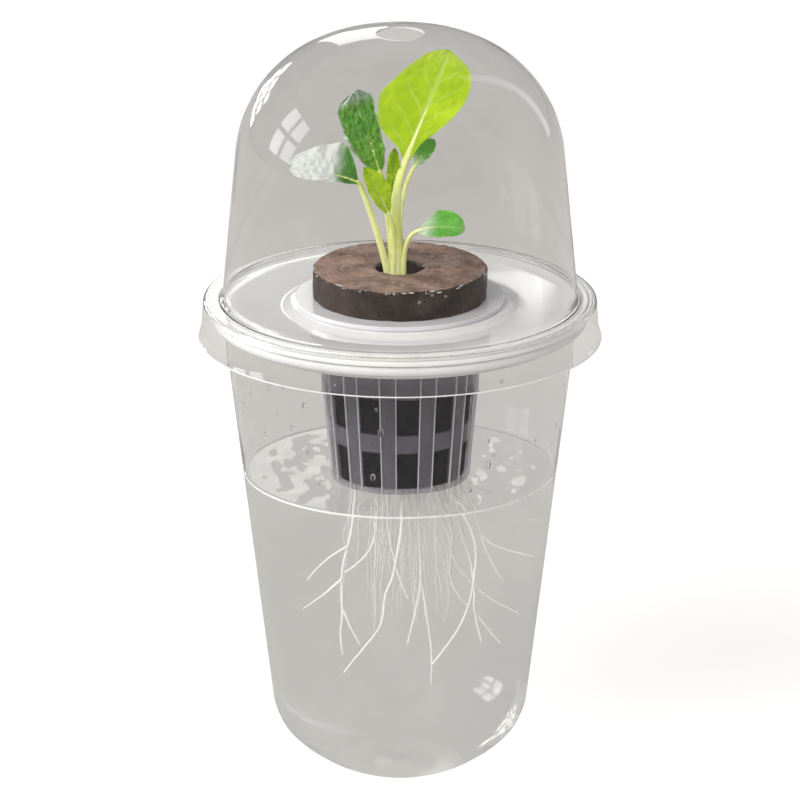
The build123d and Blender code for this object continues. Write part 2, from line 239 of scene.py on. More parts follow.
def rough(mesh: Mesh, depth: float, size: float, seed: float) -> Mesh:
    """Moves vertices by smooth noise.

    Args:
        mesh: Vertices in millimetres and faces.
        depth: Largest move in millimetres.
        size: Size of the lumps in millimetres.
        seed: Shift of the noise.

    Returns:
        The moved mesh.
    """
    shift = Vector((seed, seed * 0.7, seed * 1.3))
    moved = []
    for v in mesh[0]:
        move = noise.turbulence_vector(Vector(v) / size + shift, 3, False) * depth
        moved.append(tuple(Vector(v) + move))
    return moved, mesh[1]


def linked(name: str, data: bpy.types.ID) -> bpy.types.Object:
    """New object in the scene.

    Args:
        name: Name of the object.
        data: Its mesh, curve, lamp or camera.

    Returns:
        The object.
    """
    thing = bpy.data.objects.new(name, data)
    bpy.context.scene.collection.objects.link(thing)
    return thing


def add_piece(
    name: str,
    mesh: Mesh,
    finishes: Sequence[Material],
    body: Body,
    slot: Slot,
    nodes: Sequence[str] = (),
    sharp: float = 40.0,
) -> bpy.types.Object:
    """Makes a piece that rides on a body and may stand for CAD nodes.

    Args:
        name: Name of the piece.
        mesh: Vertices in millimetres and faces.
        finishes: Materials, of which the first covers the faces.
        body: Body that the piece rides on.
        slot: Passed on, but not used.
        nodes: CAD nodes that the piece replaces.
        sharp: Angle in degrees over which an edge stays sharp.

    Returns:
        The new object.
    """
    data = bpy.data.meshes.new(name)
    data.from_pydata([tuple(c * MM for c in v) for v in mesh[0]], [], mesh[1])
    shaped = bmesh.new()
    shaped.from_mesh(data)
    bmesh.ops.recalc_face_normals(shaped, faces=shaped.faces)
    shaped.to_mesh(data)
    shaped.free()
    for finish in finishes:
        data.materials.append(finish)
    return seat_piece(data, body, slot, nodes, sharp)


def seat_piece(
    data: bpy.types.Mesh,
    body: Body,
    slot: Slot,
    nodes: Sequence[str] = (),
    sharp: float = 40.0,
) -> bpy.types.Object:
    """Links a finished mesh as a piece on its body.

    Args:
        data: The mesh, with the piece's name and its materials.
        body: Body that the piece rides on.
        slot: Not used.
        nodes: CAD nodes that the piece replaces.
        sharp: Angle in degrees over which an edge stays sharp.

    Returns:
        The new object.
    """
    data.polygons.foreach_set("use_smooth", [True] * len(data.polygons))
    data.set_sharp_from_angle(angle=math.radians(sharp))
    piece = linked(data.name, data)
    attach(piece, body.value)
    if nodes:
        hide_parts(*nodes)
    LOG.info("piece %s: %d faces on %s", piece.name, len(data.polygons), body.value)
    return piece


def paint(piece: bpy.types.Object, pick: Callable[[float, float, float], int]) -> None:
    """Chooses the material of every face of a piece.

    Args:
        piece: Piece with several materials.
        pick: Gives a material's number from a face's radius and height in millimetres and the Z
            of its normal.
    """
    for face in piece.data.polygons:
        face.material_index = pick(face.center.xy.length / MM, face.center.z / MM, face.normal.z)


# Shader graphs and shared effects


class Graph:
    """Short calls for building a node tree."""

    def __init__(self, tree: NodeTree) -> None:
        """Keeps the tree."""
        self.tree = tree

    def add(self, kind: str, inputs: Optional[dict] = None, **settings: object) -> Node:
        """Adds a node.

        Args:
            kind: Node type.
            inputs: Values or output sockets for its inputs, by name or number.
            **settings: Properties of the node.

        Returns:
            The node.
        """
        node = self.tree.nodes.new(kind)
        for key, value in settings.items():
            setattr(node, key, value)
        self.fill(node, inputs or {})
        return node

    def fill(self, node: Node, inputs: dict) -> None:
        """Feeds several inputs of a node, by name or number."""
        for key, value in inputs.items():
            self.feed(node.inputs[key], value)

    def feed(self, socket: Socket, value: object) -> None:
        """Sets an input to a value, or links it to an output socket.

        Args:
            socket: The input.
            value: A value, a colour of three shares or an output socket.
        """
        if isinstance(value, Socket):
            self.tree.links.new(value, socket)
        elif socket.type == "RGBA" and len(value) == 3:
            socket.default_value = (*value, 1.0)
        else:
            socket.default_value = value

    def group(self, tree: NodeTree, **inputs: object) -> bpy.types.NodeOutputs:
        """Places a shared group with its own values, and gives its outputs."""
        return self.add("ShaderNodeGroup", inputs, node_tree=tree).outputs

    def maths(self, operation: str, first: object, second: object = 0.0) -> Socket:
        """Output of a Math node."""
        return self.add("ShaderNodeMath", {0: first, 1: second}, operation=operation).outputs[0]

    def times(self, first: object, second: object) -> Socket:
        """Product of two values."""
        return self.maths("MULTIPLY", first, second)

    def blend(self, share: object, first: object, second: object) -> Socket:
        """Output of a colour Mix node."""
        node = self.add("ShaderNodeMix", {0: share, 6: first, 7: second}, data_type="RGBA")
        return node.outputs[2]

    def noise(self, place: object, scale: object, detail: float, roughness: float = 0.5) -> Socket:
        """Output of a Noise Texture node."""
        inputs = {"Vector": place, "Scale": scale, "Detail": detail, "Roughness": roughness}
        return self.add("ShaderNodeTexNoise", inputs).outputs["Fac"]

    def spread(self, value: object, low: object, high: object, to: Pair = (0.0, 1.0)) -> Socket:
        """Output of a smooth Map Range node.

        Args:
            value: What is mapped.
            low: Value that gives the first of the pair.
            high: Value that gives the second of the pair.
            to: The pair.

        Returns:
            The mapped value.
        """
        inputs = {"Value": value, "From Min": low, "From Max": high}
        inputs |= {"To Min": to[0], "To Max": to[1]}
        node = self.add("ShaderNodeMapRange", inputs, interpolation_type="SMOOTHSTEP")
        return node.outputs["Result"]

    def bump(self, height: object, strength: float, distance: float) -> Socket:
        """Normal of a Bump node; the distance is in millimetres."""
        inputs = {"Height": height, "Strength": strength, "Distance": distance * MM}
        return self.add("ShaderNodeBump", inputs).outputs["Normal"]

    def place(self) -> Socket:
        """Object coordinates."""
        return self.add("ShaderNodeTexCoord").outputs["Object"]


class Effects:
    """Node groups that several finishes share, each built once."""

    FINE_CLOUDS = 5.3
    BROAD_SHARE = 0.65
    FINE_SHARE = 0.35
    CLOUD_SPAN = (0.36, 0.64)
    PIT_SCALE = 1.7
    PIT_DEPTH = 0.12
    VEIN_BEND = 0.8
    VEIN_WANDER = 0.07
    VEIN_STAGGER = 0.45
    VEIN_FADE = (0.25, 0.95)
    MIDRIB_WIDTH = 0.11

    def __init__(self) -> None:
        """Builds every group."""
        self.mottle = self._mottle()
        self.grain = self._grain()
        self.waves = self._waves()
        self.specks = self._specks()
        self.veins = self._veins()

    @staticmethod
    def _start(name: str, inputs: Dict[str, str], outputs: Dict[str, str]) -> tuple:
        """Starts a group with named sockets.

        Args:
            name: Name of the group.
            inputs: Socket type of each input, by name.
            outputs: Socket type of each output, by name.

        Returns:
            The group, its graph, what it is given and what it puts out.
        """
        tree = bpy.data.node_groups.new(name, "ShaderNodeTree")
        for way, sockets in (("INPUT", inputs), ("OUTPUT", outputs)):
            for label, kind in sockets.items():
                tree.interface.new_socket(label, in_out=way, socket_type="NodeSocket" + kind)
        graph = Graph(tree)
        return tree, graph, graph.add("NodeGroupInput").outputs, graph.add("NodeGroupOutput").inputs

    def _mottle(self) -> NodeTree:
        """Two colours in soft clouds with finer clouds inside them.

        Returns:
            The group.
        """
        tree, g, given, out = self._start(
            "mottle",
            {"Vector": "Vector", "Scale": "Float", "Dark": "Color", "Light": "Color"},
            {"Color": "Color", "Mask": "Float"},
        )
        broad = g.noise(given["Vector"], given["Scale"], 5.0)
        fine = g.noise(given["Vector"], g.times(given["Scale"], self.FINE_CLOUDS), 3.0)
        both = g.maths("ADD", g.times(broad, self.BROAD_SHARE), g.times(fine, self.FINE_SHARE))
        mask = g.spread(both, *self.CLOUD_SPAN)
        g.feed(out["Color"], g.blend(mask, given["Dark"], given["Light"]))
        g.feed(out["Mask"], mask)
        return tree

    def _grain(self) -> NodeTree:
        """Height of a fine grain over broader lumps.

        Returns:
            The group.
        """
        tree, g, given, out = self._start(
            "grain", {"Vector": "Vector", "Scale": "Float"}, {"Height": "Float"}
        )
        lumps = g.noise(given["Vector"], given["Scale"], 2.5, 0.55)
        finer = g.times(given["Scale"], self.PIT_SCALE)
        pits = g.add("ShaderNodeTexVoronoi", {"Vector": given["Vector"], "Scale": finer})
        depth = g.times(pits.outputs["Distance"], self.PIT_DEPTH)
        g.feed(out["Height"], g.maths("ADD", lumps, depth))
        return tree

    def _waves(self) -> NodeTree:
        """Height of slow waves, stretched along Z.

        Returns:
            The group.
        """
        tree, g, given, out = self._start(
            "forming_waves",
            {"Vector": "Vector", "Scale": "Float", "Stretch": "Float"},
            {"Height": "Float"},
        )
        axes = g.add("ShaderNodeCombineXYZ", {"X": 1.0, "Y": 1.0, "Z": given["Stretch"]}).outputs[0]
        stretched = g.add(
            "ShaderNodeVectorMath", {0: given["Vector"], 1: axes}, operation="MULTIPLY"
        ).outputs[0]
        g.feed(out["Height"], g.noise(stretched, given["Scale"], 2.0))
        return tree

    def _specks(self) -> NodeTree:
        """Mask of scattered small spots.

        Returns:
            The group.
        """
        tree, g, given, out = self._start(
            "specks",
            {"Vector": "Vector", "Scale": "Float", "Size": "Float", "Share": "Float"},
            {"Mask": "Float"},
        )
        cells = g.add("ShaderNodeTexVoronoi", {"Vector": given["Vector"], "Scale": given["Scale"]})
        near = g.maths("LESS_THAN", cells.outputs["Distance"], given["Size"])
        drawn = g.add("ShaderNodeSeparateColor", {0: cells.outputs["Color"]}).outputs[0]
        g.feed(out["Mask"], g.times(near, g.maths("LESS_THAN", drawn, given["Share"])))
        return tree

    def _veins(self) -> NodeTree:
        """Masks of a leaf's side veins, midrib and edge from coordinates across and along it.

        Returns:
            The group.
        """
        tree, g, given, out = self._start(
            "leaf_veins",
            {"Vector": "Vector", **dict.fromkeys(("Count", "Slant", "Width", "Start"), "Float")},
            dict.fromkeys(("Veins", "Midrib", "Edge"), "Float"),
        )
        parts = g.add("ShaderNodeSeparateXYZ", {0: given["Vector"]}).outputs
        doubled = g.times(parts["X"], 2.0)
        across = g.maths("ABSOLUTE", g.maths("SUBTRACT", doubled, 1.0))
        bent = g.maths("POWER", across, self.VEIN_BEND)
        wander = g.noise(given["Vector"], 5.0, 2.0)
        phase = g.maths("SUBTRACT", parts["Y"], g.times(bent, given["Slant"]))
        phase = g.maths("ADD", phase, g.times(wander, self.VEIN_WANDER))
        phase = g.times(phase, given["Count"])
        half = g.maths("LESS_THAN", parts["X"], 0.5)
        phase = g.maths("ADD", phase, g.times(half, self.VEIN_STAGGER))
        near = g.maths("ABSOLUTE", g.maths("SUBTRACT", g.maths("FRACT", phase), 0.5))
        line = g.maths("SUBTRACT", 1.0, g.spread(near, 0.0, given["Width"]))
        fade = g.spread(across, *self.VEIN_FADE, (1.0, 0.0))
        g.feed(out["Veins"], g.times(line, fade))
        g.feed(out["Midrib"], g.spread(across, 0.0, self.MIDRIB_WIDTH, (1.0, 0.0)))
        rim = g.maths("MAXIMUM", across, parts["Y"])
        g.feed(out["Edge"], g.spread(rim, given["Start"], 1.0))
        return tree


# Finishes


def start_material(name: str) -> Tuple[Material, Graph, Node, Node]:
    """Starts a material.

    Args:
        name: Name of the material.

    Returns:
        The material, its graph, its Principled shader and its output node.
    """
    material = bpy.data.materials.new(name)
    material.use_nodes = True
    tree = material.node_tree
    shader = next(n for n in tree.nodes if n.type == "BSDF_PRINCIPLED")
    output = next(n for n in tree.nodes if n.type == "OUTPUT_MATERIAL")
    return material, Graph(tree), shader, output


def let_light_in(graph: Graph, shader: Node, output: Node, pass_colour: Colour) -> None:
    """Lets lamp light and scattered light cross a clear shell unbent.

    Args:
        graph: Graph of the material.
        shader: Shader that the camera meets.
        output: Output node.
        pass_colour: Share of light that crosses each face.
    """
    path = graph.add("ShaderNodeLightPath").outputs
    plain = graph.add("ShaderNodeBsdfTransparent", {"Color": pass_colour}).outputs[0]
    surface = shader.outputs[0]
    for ray in ("Is Diffuse Ray", "Is Shadow Ray"):
        surface = graph.add("ShaderNodeMixShader", {0: path[ray], 1: surface, 2: plain}).outputs[0]
    graph.feed(output.inputs["Surface"], surface)


@dataclass(frozen=True)
class Finish:
    """A finish in two colours that lie in soft clouds."""

    cloud_scale: ClassVar[float] = 18.0
    name: str
    dark: Colour
    light: Colour

    def begin(self, effects: Effects) -> tuple:
        """Starts the finish's material.

        Args:
            effects: The shared groups.

        Returns:
            The material, its graph, shader, output node, coordinates and clouds.
        """
        material, g, shader, output = start_material(self.name)
        place = g.place()
        cloud = g.group(
            effects.mottle, Vector=place, Scale=self.cloud_scale, Dark=self.dark, Light=self.light
        )
        return material, g, shader, output, place, cloud

    def material(self, effects: Effects) -> Material:
        """Builds the material; each kind of finish has its own way."""
        raise NotImplementedError


@dataclass(frozen=True)
class ClearPlastic(Finish):
    """Thin formed clear plastic with slow waves in its wall."""

    ior: float = 1.36
    wave_scale: float = 55.0
    wave_stretch: float = 0.35
    wave_strength: float = 0.35
    wave_depth: float = 0.25
    coat: float = 0.0
    coat_roughness: float = 0.02
    pass_share: float = 0.99

    def material(self, effects: Effects) -> Material:
        """Builds the material.

        Args:
            effects: The shared groups.

        Returns:
            The material.
        """
        material, g, shader, output, place, cloud = self.begin(effects)
        waves = g.group(
            effects.waves, Vector=place, Scale=self.wave_scale, Stretch=self.wave_stretch
        )
        g.fill(shader, {
            "Base Color": cloud["Color"],
            "Normal": g.bump(waves["Height"], self.wave_strength, self.wave_depth),
            "Coat Weight": self.coat,
            "Coat Roughness": self.coat_roughness,
            "Roughness": 0.0,
            "IOR": self.ior,
            "Transmission Weight": 1.0,
        })
        let_light_in(g, shader, output, (self.pass_share,) * 3)
        return material


@dataclass(frozen=True)
class ClearWater(ClearPlastic):
    """Still clear water with faint ripples."""

    cloud_scale: ClassVar[float] = 14.0
    ior: float = 1.02
    wave_scale: float = 42.0
    wave_stretch: float = 0.6
    wave_strength: float = 0.5
    wave_depth: float = 0.35
    pass_share: float = 0.98


@dataclass(frozen=True)
class MouldedPlastic(Finish):
    """Opaque or milky moulded plastic with a faint surface grain."""

    cloud_scale: ClassVar[float] = 26.0
    roughness: Pair
    grain_scale: float = 260.0
    grain_strength: float = 0.35
    grain_depth: float = 0.03
    ior: float = 1.5
    alpha: float = 1.0
    coat: float = 0.0
    coat_roughness: float = 0.08

    def material(self, effects: Effects) -> Material:
        """Builds the material.

        Args:
            effects: The shared groups.

        Returns:
            The material.
        """
        material, g, shader, _, place, cloud = self.begin(effects)
        roughness = g.spread(cloud["Mask"], 0.0, 1.0, self.roughness)
        height = g.group(effects.grain, Vector=place, Scale=self.grain_scale)["Height"]
        g.fill(shader, {
            "Base Color": cloud["Color"],
            "Roughness": roughness,
            "Normal": g.bump(height, self.grain_strength, self.grain_depth),
            "IOR": self.ior,
            "Alpha": self.alpha,
            "Coat Weight": self.coat,
            "Coat Roughness": self.coat_roughness,
        })
        return material


@dataclass(frozen=True)
class Fibrous(Finish):
    """Damp pressed fibres, with pale specks in the colour that are partly paler fibres and partly
    painted wet glints.
    """

    cloud_scale: ClassVar[float] = 150.0
    glint: Colour
    grain_scale: float
    grain_depth: float
    roughness: Pair
    glint_share: float = 0.12
    shine: float = 0.5
    glint_scale: float = 620.0
    glint_size: float = 0.32
    glint_mix: float = 0.7
    damp_scale: float = 90.0
    damp_span: Pair = (0.38, 0.62)
    grain_strength: float = 0.9

    def material(self, effects: Effects) -> Material:
        """Builds the material.

        Args:
            effects: The shared groups.

        Returns:
            The material.
        """
        material, g, shader, _, place, cloud = self.begin(effects)
        fibre_and_glint = g.group(
            effects.specks,
            Vector=place, Scale=self.glint_scale, Size=self.glint_size, Share=self.glint_share,
        )["Mask"]
        # Pale specks blended into the colour: paler fibres and painted wet glints.
        colour = g.blend(g.times(fibre_and_glint, self.glint_mix), cloud["Color"], self.glint)
        damp = g.noise(place, self.damp_scale, 3.0)
        height = g.group(effects.grain, Vector=place, Scale=self.grain_scale)["Height"]
        g.fill(shader, {
            "Base Color": colour,
            "Roughness": g.spread(damp, *self.damp_span, self.roughness),
            "Normal": g.bump(height, self.grain_strength, self.grain_depth),
            "Specular IOR Level": self.shine,
        })
        return material


@dataclass(frozen=True)
class LeafSkin(Finish):
    """Leaf blade that glows where light comes through it, with paler veins and edge; the near-white
    edge of the darker leaves is a painted rim highlight, and a pale patch along the blade is
    painted glare.
    """

    cloud_scale: ClassVar[float] = 90.0
    vein: Colour
    # Margin colour; near white on the darker leaves, where it is a painted rim highlight.
    edge: Colour
    glow: Colour
    glow_share: float
    roughness: Pair
    vein_count: float = 5.0
    vein_slant: float = 0.34
    vein_width: float = 0.09
    vein_share: float = 0.55
    vein_depth: float = 0.6
    midrib_share: float = 0.6
    edge_share: float = 0.5
    edge_start: float = 0.86
    coat: float = 0.15
    coat_roughness: float = 0.22
    shine: float = 0.5
    # Pale patch along the blade: painted glare.
    painted_glare: Colour = (0.8, 0.86, 0.76)
    painted_glare_span: Pair = (0.0, 1.0)
    painted_glare_share: float = 0.0
    painted_glare_scale: float = 160.0
    painted_glare_wander: float = 0.3
    grain_scale: float = 420.0
    grain_share: float = 0.35
    bump_strength: float = 0.45
    bump_depth: float = 0.18

    def colour(self, g: Graph, clouds: Socket, veins: bpy.types.NodeOutputs) -> Socket:
        """Lays the veins, the midrib and the edge over the clouds.

        Args:
            g: Graph of the material.
            clouds: Colour of the clouds.
            veins: Outputs of the vein group.

        Returns:
            The colour.
        """
        colour = clouds
        layers = (
            ("Veins", self.vein_share, self.vein),
            ("Midrib", self.midrib_share, self.vein),
            ("Edge", self.edge_share, self.edge),
        )
        for mask, share, tint in layers:
            colour = g.blend(g.times(veins[mask], share), colour, tint)
        return colour

    def pale(self, g: Graph, place: Socket, along: Socket) -> Socket:
        """Share of the painted glare, a pale patch standing in for the leaf's sheen, at each place
        along the blade.

        Args:
            g: Graph of the material.
            place: Object coordinates.
            along: Share of the blade's length.

        Returns:
            The share.
        """
        patch = g.maths("SUBTRACT", g.noise(place, self.painted_glare_scale, 3.0), 0.5)
        reach = g.maths("ADD", along, g.times(patch, self.painted_glare_wander))
        return g.times(g.spread(reach, *self.painted_glare_span), self.painted_glare_share)

    def material(self, effects: Effects) -> Material:
        """Builds the material.

        Args:
            effects: The shared groups.

        Returns:
            The material.
        """
        material, g, shader, output, place, cloud = self.begin(effects)
        across = g.add("ShaderNodeUVMap", uv_map="blade").outputs[0]
        veins = g.group(
            effects.veins,
            Vector=across, Count=self.vein_count, Slant=self.vein_slant, Width=self.vein_width,
            Start=self.edge_start,
        )
        along = g.add("ShaderNodeSeparateXYZ", {0: across}).outputs["Y"]
        colour = self.colour(g, cloud["Color"], veins)
        fine = g.group(effects.grain, Vector=place, Scale=self.grain_scale)["Height"]
        grooves = g.times(veins["Veins"], self.vein_depth)
        height = g.maths("SUBTRACT", g.times(fine, self.grain_share), grooves)
        normal = g.bump(height, self.bump_strength, self.bump_depth)
        g.fill(shader, {
            # The pale patch blended into the colour is painted glare.
            "Base Color": g.blend(self.pale(g, place, along), colour, self.painted_glare),
            "Roughness": g.spread(cloud["Mask"], 0.0, 1.0, self.roughness),
            "Normal": normal,
            "Coat Weight": self.coat,
            "Coat Roughness": self.coat_roughness,
            "Specular IOR Level": self.shine,
        })
        lit = g.add("ShaderNodeBsdfTranslucent", {"Color": self.glow, "Normal": normal}).outputs[0]
        both = g.add("ShaderNodeMixShader", {0: self.glow_share, 1: shader.outputs[0], 2: lit})
        g.feed(output.inputs["Surface"], both.outputs[0])
        return material


@dataclass(frozen=True)
class StalkSkin(Finish):
    """Juicy stalk or root with lengthwise streaks."""

    cloud_scale: ClassVar[float] = 120.0
    roughness: Pair
    soft_radius: Colour = (0.9, 1.0, 0.4)
    softness: float = 0.25
    soft_depth: float = 0.8
    streak_scale: float = 240.0
    streak_stretch: float = 0.08
    streak_span: Pair = (0.4, 0.65)
    streak_share: float = 0.5
    rough_span: Pair = (0.3, 0.7)
    bump_strength: float = 0.5
    bump_depth: float = 0.12

    def material(self, effects: Effects) -> Material:
        """Builds the material.

        Args:
            effects: The shared groups.

        Returns:
            The material.
        """
        material, g, shader, _, place, cloud = self.begin(effects)
        streak = g.group(
            effects.waves, Vector=place, Scale=self.streak_scale, Stretch=self.streak_stretch
        )["Height"]
        share = g.times(g.spread(streak, *self.streak_span), self.streak_share)
        g.fill(shader, {
            "Base Color": g.blend(share, cloud["Color"], self.light),
            "Roughness": g.spread(streak, *self.rough_span, self.roughness),
            "Normal": g.bump(streak, self.bump_strength, self.bump_depth),
            "Subsurface Weight": self.softness,
            "Subsurface Radius": self.soft_radius,
            "Subsurface Scale": self.soft_depth * MM,
        })
        return material


FINISHES: Tuple[Finish, ...] = (
    ClearPlastic(
        "clear_jar_plastic", (0.87, 0.87, 0.865), (0.90, 0.90, 0.895),
        ior=1.1, wave_depth=0.6, coat=0.4,
    ),
    ClearPlastic("clear_dome_plastic", (0.845, 0.84, 0.835), (0.88, 0.875, 0.87), ior=1.24),
    ClearPlastic("clear_skirt_plastic", (0.96, 0.96, 0.955), (0.98, 0.98, 0.975), wave_depth=0.02),
    ClearPlastic(
        "clear_base_plastic", (0.87, 0.87, 0.865), (0.90, 0.90, 0.895), ior=1.05, wave_depth=0.02
    ),
    ClearWater("clear_water", (0.95, 0.955, 0.95), (0.97, 0.975, 0.97)),
    ClearWater(
        "water_surface", (0.96, 0.96, 0.96), (0.98, 0.98, 0.98),
        ior=1.03, wave_scale=60.0, coat=0.55,
    ),
    # Near-white semi-opaque line at the water's edge: painted meniscus highlight.
    MouldedPlastic(
        "painted_meniscus_highlight", (0.90, 0.90, 0.90), (0.97, 0.97, 0.97), (0.1, 0.2), alpha=0.8
    ),
    # Whitish semi-opaque finish of the beads on the peat edge: painted glints.
    MouldedPlastic(
        "wet_glint", (0.70, 0.68, 0.66), (0.95, 0.94, 0.93), (0.06, 0.12), alpha=0.7, coat=1.0
    ),
    ClearWater("water_drops", (0.96, 0.96, 0.96), (0.98, 0.98, 0.98), ior=1.33),
    # Whitish semi-opaque cut edges of the dome: partly frosted cut plastic, partly a painted
    # highlight.
    MouldedPlastic(
        "cut_edge_plastic", (0.80, 0.80, 0.80), (0.92, 0.92, 0.92), (0.3, 0.5), alpha=0.75
    ),
    MouldedPlastic(
        "rolled_rim_plastic", (0.84, 0.84, 0.85), (0.92, 0.92, 0.92), (0.1, 0.2), alpha=0.75
    ),
    MouldedPlastic(
        "white_tray_plastic", (0.81, 0.80, 0.795), (0.87, 0.865, 0.86), (0.06, 0.12), coat=0.8
    ),
    # Dark base colour of the pale milky pot plastic: painted shade, while the flange keeps the pale
    # colour.
    MouldedPlastic(
        "pot_plastic_with_painted_shade", (0.17, 0.16, 0.20), (0.25, 0.235, 0.285), (0.14, 0.24),
        alpha=0.34, coat=0.6,
    ),
    MouldedPlastic(
        "milky_pot_flange", (0.74, 0.73, 0.755), (0.82, 0.81, 0.83), (0.1, 0.2), coat=0.5
    ),
    # Whitish ribs on the bar edges: painted highlights.
    MouldedPlastic(
        "pot_rib_highlight", (0.70, 0.69, 0.72), (0.82, 0.81, 0.84), (0.16, 0.28),
        alpha=0.8, coat=0.5,
    ),
    Fibrous(
        "damp_medium", (0.003, 0.003, 0.004), (0.014, 0.012, 0.014), (0.07, 0.06, 0.065),
        520.0, 0.4, (0.5, 0.8), 0.03, 0.06,
    ),
    Fibrous(
        "pressed_peat_top", (0.15, 0.088, 0.065), (0.36, 0.235, 0.185), (0.50, 0.40, 0.34),
        480.0, 0.3, (0.5, 0.9), 0.08,
    ),
    # Much darker than the top: partly the wet pressed side, partly painted shade on the side and in
    # the hole.
    Fibrous(
        "peat_side_wet_and_shaded", (0.014, 0.009, 0.007), (0.055, 0.035, 0.027), (0.30, 0.24, 0.21),
        260.0, 0.12, (0.3, 0.6), 0.03, 0.3,
    ),
    LeafSkin(
        "light_leaf_skin", (0.48, 0.69, 0.012), (0.72, 0.89, 0.03), (0.80, 0.90, 0.30),
        (0.66, 0.84, 0.12), (0.66, 0.84, 0.02), 0.45, (0.4, 0.55),
    ),
    LeafSkin(
        "dark_leaf_skin", (0.08, 0.34, 0.014), (0.22, 0.54, 0.035), (0.34, 0.58, 0.18),
        # Near-white edge colour: painted rim highlight.
        (0.80, 0.88, 0.80), (0.16, 0.46, 0.03), 0.2, (0.26, 0.4),
        vein_count=7.0, edge_share=0.9, edge_start=0.84, coat=0.8, shine=1.0,
    ),
    LeafSkin(
        "glare_painted_leaf_skin", (0.05, 0.26, 0.012), (0.12, 0.40, 0.03), (0.34, 0.58, 0.18),
        # Near-white edge colour: painted rim highlight.
        (0.80, 0.90, 0.78), (0.30, 0.50, 0.15), 0.15, (0.22, 0.36),
        vein_count=6.0, edge_share=0.8, coat=0.8, shine=1.0,
        # Pale patch on the outer half: painted glare.
        painted_glare=(0.98, 1.0, 0.97), painted_glare_span=(0.20, 0.46), painted_glare_share=0.96,
    ),
    LeafSkin(
        "small_leaf_skin", (0.08, 0.40, 0.02), (0.17, 0.58, 0.06), (0.5, 0.74, 0.26),
        (0.4, 0.66, 0.2), (0.25, 0.6, 0.05), 0.25, (0.24, 0.36), coat=0.8, shine=0.8,
        # Pale patch towards the base: painted glare.
        painted_glare=(0.86, 0.93, 0.80), painted_glare_span=(0.50, 0.12), painted_glare_share=0.7,
    ),
    StalkSkin("stalk_skin", (0.74, 0.82, 0.22), (0.94, 0.97, 0.46), (0.28, 0.45)),
    StalkSkin(
        "root_skin", (0.88, 0.87, 0.84), (0.98, 0.975, 0.95), (0.35, 0.55), (1.0, 0.95, 0.85)
    ),
    StalkSkin(
        "fine_root_skin", (0.80, 0.80, 0.77), (0.95, 0.95, 0.92), (0.4, 0.6), (1.0, 0.95, 0.85)
    ),
)


# Sub-assemblies


@dataclass
class Bell:
    """A tapered wall, a corner arc and a crown arc, standing on its base at height 0."""

    base_radius: float
    taper: float
    corner: float
    crown: float
    height: float
    wall_steps: int = 40
    corner_steps: int = 90
    crown_steps: int = 24

    def outline(self, inset: float, lowest: float, narrowest: float) -> List[Pair]:
        """Outline from the base to the crown.

        Args:
            inset: How far every surface but the base moves in.
            lowest: Height at which the wall starts.
            narrowest: Radius at which the crown ends.

        Returns:
            Points as radius and height.
        """
        slant = math.hypot(1, self.taper)
        radius = self.base_radius - inset * slant
        corner = self.corner - inset
        crown = self.crown - inset
        crown_z = self.height - inset - crown
        middle = radius - corner * slant
        half = middle * self.taper + crown_z
        square = self.taper**2 + 1
        rest = middle**2 + crown_z**2 - (crown - corner) ** 2
        corner_z = (half + math.sqrt(half**2 - square * rest)) / square
        corner_r = middle - self.taper * corner_z
        wall_angle = math.degrees(math.atan2(self.taper, 1))
        join_angle = math.degrees(math.atan2(corner_z - crown_z, corner_r))
        end_angle = math.degrees(math.acos(narrowest / crown))
        bend = arc((corner_r, corner_z), corner, wall_angle, join_angle, self.corner_steps)
        top = arc((0.0, crown_z), crown, join_angle, end_angle, self.crown_steps)
        wall = straight((radius - self.taper * lowest, lowest), bend[0], self.wall_steps)
        return wall[:-1] + bend[:-1] + top


